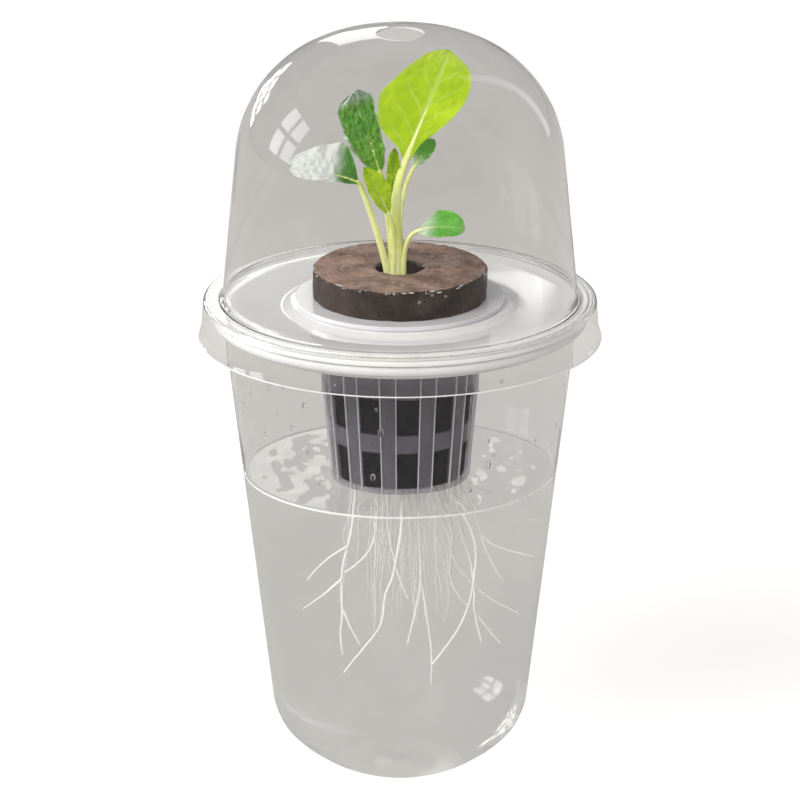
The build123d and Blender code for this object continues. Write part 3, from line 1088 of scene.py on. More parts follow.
@dataclass
class Jar:
    """Clear jar with a rolled rim, and the drops on its wall."""

    height: float = 120.3
    wall: float = 0.6
    mouth_radius: float = 44.6
    taper: float = 0.124
    corner_radius: float = 17.0
    floor_bulge: float = 9.6
    foot_radius: float = 13.3
    floor_thickness: float = 0.9
    floor_end: float = 0.05
    punt_radius: float = 9.0
    punt_height: float = 0.25
    punt_steps: int = 16
    curl_radius: float = 1.55
    curl_land: float = 0.1
    curl_sweep: float = 280.0
    ring_heights: Tuple[float, ...] = (4.2, 8.6, 13.5)
    ring_swell: float = 0.1
    ring_width: float = 0.9
    base_margin: float = 2.5
    base_top: float = 2.0
    rim_margin: float = 0.2
    drop_count: int = 34
    drop_heights: Pair = (84, 114)
    drop_sizes: Pair = (0.35, 0.85)
    drop_lengths: Pair = (1.0, 1.7)
    drop_flatness: float = 0.45
    drop_sink: float = 0.05
    segments: int = 240

    @property
    def curl_z(self) -> float:
        """Height of the middle of the rolled rim."""
        return self.height + self.curl_land - self.curl_radius

    @property
    def rolled_wall(self) -> float:
        """Wall as measured along a radius."""
        return self.wall * math.hypot(1, self.taper)

    def bell(self) -> Bell:
        """The jar's shape, upside down.

        Returns:
            The shape.
        """
        floor = self.mouth_radius - self.taper * self.curl_z + self.floor_bulge
        sagitta = floor - math.sqrt(floor**2 - self.foot_radius**2)
        return Bell(self.mouth_radius, self.taper, self.corner_radius, floor, self.curl_z + sagitta)

    def side(self, inset: float, floor_z: float) -> List[Pair]:
        """Outline of a surface inside the outer one, from the floor up to the rim.

        Args:
            inset: How far the surface lies inside the outer one.
            floor_z: Height of the floor, at which the outline is cut.

        Returns:
            Points as radius and height.
        """
        shape = [(r, self.curl_z - z) for r, z in self.bell().outline(inset, 0.0, self.floor_end)]
        points = [(self.ringed(r, z), z) for r, z in shape]
        above = [p for p in points if p[1] > floor_z]
        last, cut = above[-1], points[len(above)]
        share = (last[1] - floor_z) / (last[1] - cut[1])
        above.append((last[0] + (cut[0] - last[0]) * share, floor_z))
        return above[::-1]

    def ringed(self, radius: float, z: float) -> float:
        """Radius with the fine moulded rings near the base taken in."""
        swells = [math.exp(-(((z - h) / self.ring_width) ** 2)) for h in self.ring_heights]
        return radius - self.ring_swell * sum(swells)

    def punt(self, base_z: float) -> List[Pair]:
        """Raised middle of the base.

        Args:
            base_z: Height of the base around it.

        Returns:
            Points as radius and height, from the axis outwards.
        """
        shares = [i / self.punt_steps for i in range(self.punt_steps + 1)]
        rises = [self.punt_height * math.cos(math.pi * s / 2) ** 2 for s in shares]
        return [(self.punt_radius * s, base_z + rise) for s, rise in zip(shares, rises)]

    def outline(self) -> List[Pair]:
        """Whole outline of the jar.

        Returns:
            Points from the axis under the base to the axis inside it.
        """
        middle = (self.mouth_radius - self.rolled_wall + self.curl_radius, self.curl_z)
        end = 180.0 - self.curl_sweep
        inside = arc(middle, self.curl_radius - self.rolled_wall, 180.0, end, 28)
        outside = arc(middle, self.curl_radius, end, 180.0, 36)
        outside = [(r, min(z, self.height)) for r, z in outside]
        under = self.punt(0.0) + self.side(0.0, 0.0)
        within = self.punt(self.floor_thickness) + self.side(self.wall, self.floor_thickness)
        return under[:-1] + inside + outside + within[-2::-1]

    def drops(self) -> Mesh:
        """Flat drops of water on the inside of the wall above the water.

        Returns:
            The drops.
        """
        drawn = random.Random(41)
        cap = arc((0.0, -self.drop_sink), 1.0, 0.0, 90.0, 6)
        drop = lathe([(0.0, -self.drop_sink)] + cap[:-1] + [(0.0, cap[-1][1])], 18)
        meshes = []
        for _ in range(self.drop_count):
            turn = drawn.uniform(0, FULL_TURN)
            z = drawn.uniform(*self.drop_heights)
            size = drawn.uniform(*self.drop_sizes)
            long = drawn.uniform(*self.drop_lengths)
            radius = self.mouth_radius - self.taper * (self.curl_z - z) - self.rolled_wall
            inward = Vector((*polar(-1.0, turn), -self.taper)).normalized()
            across = inward.cross(UP).normalized()
            up = across.cross(inward) * (size * long)
            start = Vector((*polar(radius, turn), z))
            out = inward * (size * self.drop_flatness)
            meshes.append(placed(drop, start, across * size, up, out))
        return joined(*meshes)

    def build(self, made: Finishes) -> None:
        """Builds the jar, with its own materials on the rolled rim and on the base, and its drops.

        Args:
            made: Materials by name.
        """
        skins = [made[f"{part}_plastic"] for part in ("clear_jar", "rolled_rim", "clear_base")]
        mesh = lathe(self.outline(), self.segments)
        shell = add_piece("jar_shell", mesh, skins, Body.JAR, Slot.CLEAR, ["jar"], 50)

        def pick(radius: float, z: float, _: float) -> int:
            """1 on the rolled rim, 2 on the base and 0 elsewhere."""
            low = radius < self.foot_radius + self.base_margin and z < self.base_top
            return 1 if radius > self.mouth_radius + self.rim_margin else 2 if low else 0

        paint(shell, pick)
        add_piece("jar_drops", self.drops(), [made["water_drops"]], Body.JAR, Slot.WATER)


@dataclass
class Water:
    """Water in the jar, drawn up a little at the wall."""

    jar: Jar
    level: float = 78.3
    gap: float = -0.2
    meniscus_width: float = 1.6
    meniscus_height: float = 0.2
    meniscus_steps: int = 14
    line_width: float = 0.3
    line_height: float = 0.4
    ripple_size: float = 5.0
    ripple_height: float = 0.36
    ripple_squeeze: float = 0.6
    ripple_shift: float = 5.0
    fine_ripple: Pair = (0.3, 2.2)
    segments: int = 240

    def outline(self) -> List[Pair]:
        """Outline of the water.

        Returns:
            Points from the axis at the floor to the axis on the surface.
        """
        inset = self.jar.wall + self.gap
        floor = self.jar.floor_thickness + self.gap
        highest = self.level - 2 * self.line_height
        side = [p for p in self.jar.side(inset, floor) if p[1] < highest]
        edge = self.jar.mouth_radius - self.jar.taper * (self.jar.curl_z - self.level)
        edge -= inset * math.hypot(1, self.jar.taper)
        top = [(edge - self.jar.taper * self.line_height, self.level - self.line_height)]
        for i in range(self.meniscus_steps + 1):
            share = i / self.meniscus_steps
            lift = self.meniscus_height * (1 - share) ** 3
            top.append((edge - self.meniscus_width * share, self.level + lift))
        flat = straight(top[-1], (0.0, self.level), 44)
        return self.jar.punt(floor) + side + top + flat[1:]

    def rippled(self, mesh: Mesh) -> Mesh:
        """Raises slow ripples on the open surface, which die out at the wall.

        Args:
            mesh: The water's mesh.

        Returns:
            The mesh with its surface moved.
        """
        points, faces = mesh
        share, finer = self.fine_ripple
        reach = max(math.hypot(x, y) for x, y, z in points if z > self.level) - self.meniscus_width
        moved = []
        for x, y, z in points:
            inside = reach - math.hypot(x, y)
            if z >= self.level - MM and inside > 0:
                place = Vector((x, self.ripple_squeeze * y, self.ripple_shift)) / self.ripple_size
                lift = noise.noise(place) + share * noise.noise(place * finer)
                z += self.ripple_height * lift * min(1.0, inside / self.ripple_size)
            moved.append((x, y, z))
        return moved, faces

    def build(self, made: Finishes) -> None:
        """Builds the water, with its own materials on its surface and on the line at the wall,
        which is a painted highlight.

        Args:
            made: Materials by name.
        """
        skins = [made[name] for name in ("clear_water", "water_surface", "painted_meniscus_highlight")]
        mesh = self.rippled(lathe(self.outline(), self.segments))
        body = add_piece("water_body", mesh, skins, Body.JAR, Slot.WATER, ["nutrient_water"], 50)
        edge = max(v.co.xy.length for v in body.data.vertices if v.co.z > self.level * MM) / MM

        def pick(radius: float, z: float, _: float) -> int:
            """2 on the painted highlight line at the wall, 1 on the surface and 0 elsewhere."""
            top = 2 if radius > edge - self.line_width else 1
            return top if z > self.level - self.line_height else 0

        paint(body, pick)


@dataclass
class Tray:
    """White planting tray with a stepped rim, a trough and a collar."""

    jar: Jar
    rim_radius: float = 47.395
    rim_width: float = 2.6
    rim_height: float = 2.6
    rim_round: float = 0.22
    wall: float = 1.2
    trough_depth: float = 1.2
    dish_power: float = 1.15
    dish_steps: int = 20
    seat_height: float = 1.1
    seat_radius: float = 26.7
    seat_slope: float = 3.0
    round_radius: float = 3.0
    groove_depth: float = 0.4
    groove_height: float = 0.9
    hole_radius: float = 22.25
    collar_depth: float = 4.4
    collar_wall: float = 1.2
    collar_clearance: float = 0.35
    bead_height: float = 0.25
    bead_insets: Triple = (1.5, 1.2, 0.9)
    segments: int = 240

    def outline(self) -> List[Pair]:
        """Closed outline of the tray's wall.

        Returns:
            Points as radius and height.
        """
        base = self.jar.height
        top = base + self.rim_height
        trough = top - self.trough_depth
        seat = trough + self.seat_height
        rim_inner = self.rim_radius - self.rim_width
        jar_inner = self.jar.mouth_radius - self.jar.rolled_wall
        jar_inner -= self.jar.taper * (self.jar.curl_z - base + self.collar_depth)
        collar = jar_inner - self.collar_clearance
        collar_inner = collar - self.collar_wall
        slope = self.seat_radius + self.seat_slope
        shares = [i / self.dish_steps for i in range(1, self.dish_steps + 1)]
        bead_start, bead_low, bead_end = (self.rim_radius - inset for inset in self.bead_insets)
        dish = [(self.hole_radius, seat), (self.seat_radius, seat), (slope, trough)]
        for s in shares:
            lift = self.trough_depth * s**self.dish_power
            dish.append((slope + (rim_inner - slope) * s, trough + lift))
        dish = softened(dish + [(bead_start, top)], self.round_radius, 6)
        middle = (top + base) / 2
        groove = self.groove_height / 2
        rim = [
            dish[-1],
            (bead_low, top - self.bead_height),
            (bead_end, top),
            (self.rim_radius, top),
            (self.rim_radius, middle + groove),
            (self.rim_radius - self.groove_depth, middle),
            (self.rim_radius, middle - groove),
            (self.rim_radius, base),
            (collar, base),
            (collar, base - self.collar_depth),
            (collar_inner, base - self.collar_depth),
            (collar_inner, trough - self.wall),
            (slope, trough - self.wall),
            (self.seat_radius, seat - self.wall),
            (self.hole_radius, seat - self.wall),
            (self.hole_radius, seat),
        ]
        return dish + softened(rim, self.rim_round, 3)[1:-1]

    def build(self, made: Finishes) -> None:
        """Builds the tray from materials by name."""
        mesh, skins = lathe(self.outline(), self.segments, ring=True), [made["white_tray_plastic"]]
        add_piece("tray_dish", mesh, skins, Body.TRAY, Slot.WHITE, ["planting_tray"], 45)


@dataclass
class NetPot:
    """Net pot with two rows of windows, ribs, floor slots and a flange, and the medium in it."""

    seat_z: float = 122.8
    depth: float = 46.2
    mouth_radius: float = 21.5
    taper: float = 0.0905
    wall: float = 1.0
    floor: float = 1.2
    floor_hole: float = 1.5
    flange_width: float = 4.9
    flange_thickness: float = 1.2
    flange_margin: float = 0.3
    columns: int = 12
    cells: int = 5
    window_width: float = 5.6
    window_turn: float = 6.0
    window_z: float = 90.0
    upper_drop: float = 20.3
    upper_height: float = 9.7
    band: float = 4.8
    neck: float = 8.0
    rib_width: float = 0.24
    rib_height: float = 0.22
    rib_root: float = 0.3
    slot_radii: Pair = (7.0, 13.5)
    medium_gap: float = 0.3
    medium_inset: float = 0.2
    medium_lumps: Triple = (0.26, 4.5, 3.0)
    wall_bevel: float = 0.16
    rib_bevel: float = 0.1
    bevel_angle: float = 40.0

    @property
    def bottom_z(self) -> float:
        """Height of the pot's foot."""
        return self.seat_z - self.depth

    @property
    def flange_z(self) -> float:
        """Height of the flange's top."""
        return self.seat_z + self.flange_thickness

    def radius(self, z: float) -> float:
        """Outer radius of the wall at a height."""
        return self.mouth_radius - self.taper * (self.seat_z - z)

    def column_turn(self, column: int) -> float:
        """Angle in degrees of the middle of a column of windows."""
        return -90 + self.window_turn + column * 360 / self.columns

    def turns(self) -> Tuple[List[float], List[bool]]:
        """Grid lines round the pot.

        Returns:
            Their angles, and which strips after them hold windows.
        """
        half = math.degrees(math.asin(self.window_width / 2 / self.radius(self.window_z)))
        bar = 360 / self.columns - 2 * half
        angles: List[float] = []
        holds: List[bool] = []
        for column in range(self.columns):
            middle = self.column_turn(column)
            for start, width in ((middle - half, 2 * half), (middle + half, bar)):
                angles += [math.radians(start + width * i / self.cells) for i in range(self.cells)]
            holds += [True] * self.cells + [False] * self.cells
        return angles, holds

    def rings(self) -> Tuple[List[Pair], List[Pair]]:
        """Rings of the grid, from the floor's hole to the flange.

        Returns:
            Radius and height of each ring outside and inside.
        """
        floor_z = self.bottom_z + self.floor
        upper = self.seat_z - self.upper_drop
        band_top = upper - self.upper_height
        heights = [floor_z, band_top - self.band, band_top, upper, self.seat_z - self.neck]
        flange = self.mouth_radius + self.flange_width
        floor_radii = (self.floor_hole, *self.slot_radii)
        outside = [(r, self.bottom_z) for r in (*floor_radii, self.radius(self.bottom_z))]
        outside += [(self.radius(z), z) for z in (*heights, self.seat_z)]
        outside += [(flange, self.seat_z), (flange, self.flange_z)]
        inside = [(r, floor_z) for r in (*floor_radii, self.radius(floor_z) - self.wall)]
        inside += [(self.radius(z) - self.wall, z) for z in (*heights, self.flange_z)]
        return outside, inside

    def shell(self) -> Mesh:
        """Wall, floor and flange as one closed grid with holes for windows and slots.

        Returns:
            The mesh.
        """
        angles, holds = self.turns()
        outside, inside = self.rings()
        count, split = len(angles), len(outside)
        verts = [(*polar(r, a), z) for r, z in outside + inside for a in angles]
        faces: List[Face] = []
        slots, windows, foot = 1, (4, 6), 3

        def corner(row: int, i: int) -> int:
            """Number of the vertex on a ring at a grid line."""
            return row * count + i % count

        def wall(low: int, high: int, i: int) -> None:
            """Adds the face between two rings after a grid line."""
            ends = corner(low, i), corner(low, i + 1), corner(high, i + 1), corner(high, i)
            faces.append(ends)

        def open_cell(row: int, i: int) -> bool:
            """True if the strip between a ring and the next is cut away after a grid line."""
            slotted = row == slots and i % count % (2 * self.cells) in (1, 2, 3)
            return holds[i % count] and (slotted or row in windows)

        for base, size in ((0, split), (split, len(inside))):
            for row in range(size - 1):
                if base and row == foot:
                    continue
                for i in range(count):
                    if not open_cell(row, i):
                        wall(base + row, base + row + 1, i)
        for i in range(count):
            wall(split - 1, split + len(inside) - 1, i)
            wall(0, split, i)
        for row in (slots, *windows):
            for i in (i for i in range(count) if open_cell(row, i)):
                for level in (row, row + 1):
                    wall(level, split + level, i)
                for line, beside in ((i, i - 1), (i + 1, i + 1)):
                    if not open_cell(row, beside):
                        levels = (row, row + 1, split + row + 1, split + row)
                        faces.append(tuple(corner(level, line) for level in levels))
        return verts, faces

    def ribs(self) -> Mesh:
        """A fine rib up each edge of every bar, in a whitish material that paints the highlights on
        the bar edges.

        Returns:
            The ribs.
        """
        window = self.window_width + self.rib_width
        aside = math.degrees(window / 2 / self.radius(self.window_z))
        faces = [(0, 1, 2, 3), (4, 5, 6, 7), (0, 1, 5, 4), (1, 2, 6, 5), (2, 3, 7, 6), (3, 0, 4, 7)]
        meshes = []
        for column in range(self.columns):
            for lean in (-aside, aside):
                a = math.radians(self.column_turn(column) + lean)
                out = Vector((*polar(1.0, a), 0))
                along = Vector((-out.y, out.x, 0)) * (self.rib_width / 2)
                verts = []
                for z in (self.bottom_z, self.seat_z):
                    low = out * (self.radius(z) - self.rib_root) + UP * z
                    high = out * (self.radius(z) + self.rib_height) + UP * z
                    corners = (low - along, low + along, high + along, high - along)
                    verts += [tuple(corner) for corner in corners]
                meshes.append((verts, faces))
        return joined(*meshes)

    def medium(self) -> Mesh:
        """Lumpy medium that fills the pot.

        Returns:
            The mesh.
        """
        floor_z = self.bottom_z + self.floor
        low_z, high_z = floor_z + self.medium_inset, self.flange_z - self.medium_inset
        inward = self.wall + self.medium_gap
        low = (self.radius(floor_z) - inward, low_z)
        high = (self.radius(self.flange_z) - inward, high_z)
        outline = straight((0.0, low_z), low, 8) + straight(low, high, 60)[1:]
        outline += straight(high, (0.0, high_z), 8)[1:]
        return rough(lathe(outline, 160), *self.medium_lumps)

    def build(self, made: Finishes) -> None:
        """Builds the pot, with its own material on the flange, its ribs in a whitish material that
        paints highlights, and its medium.

        Args:
            made: Materials by name.
        """
        skins = [made["pot_plastic_with_painted_shade"], made["milky_pot_flange"]]
        pot = add_piece("net_pot_basket", self.shell(), skins, Body.POT, Slot.POT, ["net_pot"], 40)

        def pick(radius: float, z: float, _: float) -> int:
            """1 on the flange and 0 elsewhere."""
            outside = radius > self.mouth_radius + self.flange_margin
            return int(outside and z > self.seat_z - 0.01)

        paint(pot, pick)
        # The ribs' whitish material paints the bright lines along the bar edges.
        edges = [made["pot_rib_highlight"]]
        ribs = add_piece("net_pot_ribs", self.ribs(), edges, Body.POT, Slot.POT, (), 40)
        for piece, width in ((pot, self.wall_bevel), (ribs, self.rib_bevel)):
            bevel = piece.modifiers.new("edges", "BEVEL")
            bevel.width = width * MM
            bevel.segments = 2
            bevel.limit_method = "ANGLE"
            bevel.angle_limit = math.radians(self.bevel_angle)
        damp = [made["damp_medium"]]
        add_piece("pot_medium", self.medium(), damp, Body.POT, Slot.MEDIUM, ["growing_medium"])


@dataclass
class PeatDisc:
    """Pressed peat disc with a planting hole, crumbs on it, and whitish beads on its edge that are
    painted highlights for wet glints.
    """

    base_z: float = 124.0
    radius: float = 22.0
    thickness: float = 7.7
    shrink: float = 0.15
    foot_round: float = 0.3
    edge_round: float = 0.8
    hole_radius: float = 6.0
    hole_depth: float = 5.0
    hole_taper: float = 0.2
    lip_width: float = 0.8
    lip_step: Pair = (0.25, 0.2)
    lumps: Triple = (0.22, 3.6, 8.0)
    crumb_lumps: Pair = (0.35, 0.7)
    crumb_count: int = 90
    crumb_reach: Pair = (7.4, 21.0)
    crumb_sizes: Pair = (0.18, 0.5)
    crumb_flatness: float = 0.8
    bead_count: int = 80
    bead_leans: Pair = (5, 60)
    bead_sizes: Pair = (0.14, 0.34)
    bead_lengths: Pair = (1.0, 4.0)
    bead_flatness: float = 0.7
    side_margin: float = 1.0
    sink_margin: float = 0.4
    upright: float = 0.75
    segments: int = 260

    @property
    def top_z(self) -> float:
        """Height of the disc's top."""
        return self.base_z + self.thickness

    def outline(self) -> List[Pair]:
        """Outline of the disc.

        Returns:
            Points from the axis under the disc to the axis in the hole.
        """
        top, hole = self.top_z, self.hole_radius
        edge = self.radius - self.shrink
        shoulder = edge - self.edge_round
        bottom = (hole - self.hole_taper, top - self.hole_depth)
        lip = top - self.lip_width
        line = straight((0.0, self.base_z), (edge - self.foot_round, self.base_z), 30)
        line += straight((edge, self.base_z + self.foot_round), (edge, top - self.edge_round), 34)
        line += arc((shoulder, top - self.edge_round), self.edge_round, 0, 90, 8)
        line += straight((shoulder, top), (hole + self.lip_width, top), 60)[1:]
        line += [(hole + self.lip_step[0], top - self.lip_step[1])]
        line += straight((hole, lip), bottom, 16)
        return line + straight(bottom, (0.0, bottom[1]), 16)[1:]

    def crumbs(self) -> Mesh:
        """Small crumbs of peat on the top.

        Returns:
            The crumbs.
        """
        drawn = random.Random(17)
        ball = lathe([(0.0, -0.6)] + arc((0.0, 0.0), 0.8, -50, 60, 5) + [(0.0, 0.7)], 8)
        nearest, farthest = self.crumb_reach
        meshes = []
        for _ in range(self.crumb_count):
            turn = drawn.uniform(0, FULL_TURN)
            reach = math.sqrt(drawn.uniform(nearest**2, farthest**2))
            size = drawn.uniform(*self.crumb_sizes)
            crumb = rough(ball, *self.crumb_lumps, drawn.uniform(0, 50))
            start = Vector((*polar(reach, turn), self.top_z))
            across, along = Vector((size, 0, 0)), Vector((0, size, 0))
            meshes.append(placed(crumb, start, across, along, UP * (size * self.crumb_flatness)))
        return joined(*meshes)

    def beads(self) -> Mesh:
        """Whitish beads along the upper edge, painted highlights that stand in for wet glints.

        Returns:
            The beads.
        """
        drawn = random.Random(29)
        ball = lathe([(0.0, -0.6)] + arc((0.0, 0.0), 0.8, -45, 65, 6) + [(0.0, 0.78)], 14)
        meshes = []
        for _ in range(self.bead_count):
            turn = drawn.uniform(0, FULL_TURN)
            lean = math.radians(drawn.uniform(*self.bead_leans))
            size = drawn.uniform(*self.bead_sizes)
            long = drawn.uniform(*self.bead_lengths)
            reach = self.radius - self.shrink - self.edge_round * (1 - math.cos(lean))
            z = self.top_z - self.edge_round * (1 - math.sin(lean))
            out = Vector((*polar(1.0, turn), 0))
            along = Vector((-out.y, out.x, 0)) * (size * long)
            start = out * reach + UP * z
            meshes.append(placed(ball, start, out * size, along, UP * (size * self.bead_flatness)))
        return joined(*meshes)

    def build(self, made: Finishes) -> None:
        """Builds the disc, with its own dark material on its side and in its hole, partly the wet
        side and partly painted shade, and what lies on it.

        Args:
            made: Materials by name.
        """
        pressed, side = made["pressed_peat_top"], made["peat_side_wet_and_shaded"]
        mesh = rough(lathe(self.outline(), self.segments), *self.lumps)
        nodes = ["peat_disc"]
        disc = add_piece("peat_disc_body", mesh, [pressed, side], Body.POT, Slot.PEAT, nodes, 70)
        hole_edge, hole_top = self.hole_radius + self.sink_margin, self.top_z - self.sink_margin

        def pick(radius: float, z: float, normal_z: float) -> int:
            """1 on the side and in the hole, whose dark material paints shade there, and 0
            elsewhere.
            """
            outer = radius > self.radius - self.side_margin and abs(normal_z) < self.upright
            return int(outer or (z < hole_top and radius < hole_edge))

        paint(disc, pick)
        add_piece("peat_crumbs", self.crumbs(), [pressed], Body.POT, Slot.PEAT, (), 70)
        # Whitish beads on the edge: painted highlights for wet glints.
        add_piece("peat_painted_glints", self.beads(), [made["wet_glint"]], Body.POT, Slot.PEAT)


@dataclass
class Leaf:
    """A stalk from the crown and a blade at its end.

    Points are (x, y, height above the crown) in millimetres. Widths are (share of the length, left,
    right). The arch bows the blade, the cup lifts its edges, and the ruffle waves them.
    """

    name: str
    foot: Pair
    stalk_radii: Pair
    base: Triple
    tip: Triple
    facing: Triple
    arch: float
    cup: float
    widths: Tuple[Triple, ...]
    ruffle: float = 0.3
    ruffles: float = 4.0
    pucker: float = 0.15
    curl: float = 0.0
    curl_start: float = 0.72
    blister: float = 0.0
    handles: Pair = (0.35, 0.35)
    thickness: float = 0.4
    narrowest: float = 0.3
    tip_start: float = 0.9
    midrib_reach: float = 0.8
    midrib_tip: float = 0.12
    midrib_taper: float = 2.4
    edge_thinning: float = 0.75
    tip_thinning: float = 0.6
    left_lag: float = 1.3
    ruffle_power: float = 2.5
    pucker_finer: float = 1.6
    blister_finer: float = 4.1
    fold_share: float = 0.8
    fold_width: float = 0.07
    curl_wave: Pair = (0.45, 9.0)
    groove_depth: float = 0.16
    groove_width: float = 0.5
    ridges: Pair = (0.03, 5)
    rows: int = 72
    strips: int = 36
    sides: int = 20
    skin: str = "light_leaf_skin"
    slot: Slot = Slot.LIGHT_LEAF

    def spine(self, share: float) -> Tuple[Vector, Vector, Vector, Vector]:
        """Line along the middle of the blade.

        Args:
            share: Share of the blade's length.

        Returns:
            Point, direction, side and normal.
        """
        base = Vector(self.base)
        run = Vector(self.tip) - base
        side = run.cross(Vector(self.facing)).normalized()
        bow = side.cross(run).normalized()
        rise = bow * (4 * self.arch)
        point = base + run * share + rise * (share * (1 - share))
        along = (run + rise * (1 - 2 * share)).normalized()
        return point, along, side, side.cross(along).normalized()

    def width(self, share: float, column: int) -> float:
        """Width on one side, on a smooth curve that closes at the tip.

        Args:
            share: Share of the blade's length.
            column: 1 for the left side and 2 for the right.

        Returns:
            The width in millimetres.
        """
        rows = self.widths
        i = next(k for k in range(len(rows) - 1) if rows[k][0] <= share <= rows[k + 1][0])
        before, after = rows[max(i - 1, 0)], rows[min(i + 2, len(rows) - 1)]
        first, last = rows[i], rows[i + 1]
        span = last[0] - first[0]
        t = (share - first[0]) / span
        slope_in = (last[column] - before[column]) / (last[0] - before[0]) * span
        slope_out = (after[column] - first[column]) / (after[0] - first[0]) * span
        value = first[column] * (2 * t**3 - 3 * t**2 + 1) + slope_in * (t**3 - 2 * t**2 + t)
        value += last[column] * (3 * t**2 - 2 * t**3) + slope_out * (t**3 - t**2)
        close = max(0.0, (share - self.tip_start) / (1 - self.tip_start))
        return max(value, self.narrowest) * math.sqrt(max(0.0, 1 - close**2 * 0.97))

    def surface(self, share: float, across: float) -> Tuple[Vector, Vector]:
        """Middle sheet of the blade.

        Args:
            share: Share of the blade's length.
            across: Place across it, from -1 to 1.

        Returns:
            Point and normal.
        """
        point, _, side, normal = self.spine(share)
        widest = max(max(left, right) for _, left, right in self.widths)
        left = across < 0
        reach = abs(across) * self.width(share, 1 if left else 2)
        lift = self.cup * (reach / widest) ** 2
        wave = math.sin(FULL_TURN * self.ruffles * share + (self.left_lag if left else 0.0))
        swell = math.sin(math.pi * min(1.0, share * 1.15 + 0.02)) ** 0.5
        lift += self.ruffle * wave * abs(across) ** self.ruffle_power * swell
        place = Vector((share * 9.0, across * 4.0, len(self.name) * 1.7))
        lumps = ((self.pucker, self.pucker_finer), (self.blister, self.blister_finer))
        for depth, finer in lumps:
            lift += depth * noise.noise(place * finer) * min(1.0, 4 * share)
        lift -= self.pucker * self.fold_share * math.exp(-((across / self.fold_width) ** 2))
        roll = max(0.0, (share - self.curl_start) / (1 - self.curl_start))
        depth, finer = self.curl_wave
        lift += self.curl * roll**2 * (1 + depth * math.sin(finer * across))
        return point + side * (-reach if left else reach) + normal * lift, normal

    def blade(self, origin: Vector) -> Tuple[Mesh, List[Pair]]:
        """Closed thin blade.

        Args:
            origin: Top of the crown.

        Returns:
            The mesh, and the coordinates across and along the blade of each vertex.
        """
        verts: List[Triple] = []
        marks: List[Pair] = []
        sheets: List[List[List[int]]] = []
        for sign in (1.0, -1.0):
            sheet = []
            for i in range(self.rows + 1):
                share = i / self.rows
                line = []
                for k in range(self.strips + 1):
                    across = -1 + 2 * k / self.strips
                    point, normal = self.surface(share, across)
                    thin = 1 - self.edge_thinning * abs(across) ** 4
                    thin *= 1 - self.tip_thinning * share**6
                    half = self.thickness / 2 * thin * sign
                    line.append(len(verts))
                    verts.append(tuple(origin + point + normal * half))
                    marks.append(((across + 1) / 2, share))
                sheet.append(line)
            sheets.append(sheet)
        front, back = sheets
        faces: List[Face] = []
        for sheet in sheets:
            for low, high in zip(sheet, sheet[1:]):
                for k in range(self.strips):
                    faces.append((low[k], low[k + 1], high[k + 1], high[k]))
        for i in range(self.rows):
            for k in (0, self.strips):
                faces.append((front[i][k], front[i + 1][k], back[i + 1][k], back[i][k]))
        for k in range(self.strips):
            for i in (0, self.rows):
                faces.append((front[i][k], front[i][k + 1], back[i][k + 1], back[i][k]))
        return (verts, faces), marks

    def stalk_point(self, t: float) -> Vector:
        """Point on the stalk's line.

        Args:
            t: Share of the way from the crown to the blade.

        Returns:
            The point.
        """
        start = Vector((*self.foot, 0.0))
        end, along, _, _ = self.spine(0.0)
        length = (end - start).length
        first = start + UP * (length * self.handles[0])
        second = end - along * (length * self.handles[1])
        s = 1 - t
        return start * s**3 + first * (3 * s * s * t) + second * (3 * s * t * t) + end * t**3

    def stalk(self, origin: Vector) -> Mesh:
        """Stalk that runs on as the blade's midrib, with a groove along its front.

        Args:
            origin: Top of the crown.

        Returns:
            The mesh.
        """
        thick, thin = self.stalk_radii
        line: List[Tuple[Vector, float]] = []
        for t in (i / 30 for i in range(31)):
            line.append((self.stalk_point(t), thick * (1 - t) + thin * t))
        for i in range(1, 25):
            point, normal = self.surface(self.midrib_reach * i / 24, 0.0)
            radius = thin * 0.8 * (1 - i / 25) ** self.midrib_taper + self.midrib_tip
            line.append((point + normal * (radius * 0.15), radius))
        verts: List[Triple] = []
        rows = []
        front = Vector(self.facing).normalized()
        for i, (point, radius) in enumerate(line):
            ahead = line[min(i + 1, len(line) - 1)][0] - line[max(i - 1, 0)][0]
            ahead.normalize()
            across = ahead.cross(front).normalized()
            up = across.cross(ahead)
            rows.append(list(range(len(verts), len(verts) + self.sides)))
            for a in (FULL_TURN * k / self.sides for k in range(self.sides)):
                aside = (a - math.pi / 2) / self.groove_width
                dent = self.groove_depth * math.exp(-(aside**2))
                reach = radius * (1 - dent + self.ridges[0] * math.cos(self.ridges[1] * a))
                out = across * math.cos(a) + up * math.sin(a)
                verts.append(tuple(origin + point + out * reach))
        faces: List[Face] = [tuple(rows[0]), tuple(rows[-1])]
        for low, high in zip(rows, rows[1:]):
            faces += ring_faces(low, high)
        return verts, faces


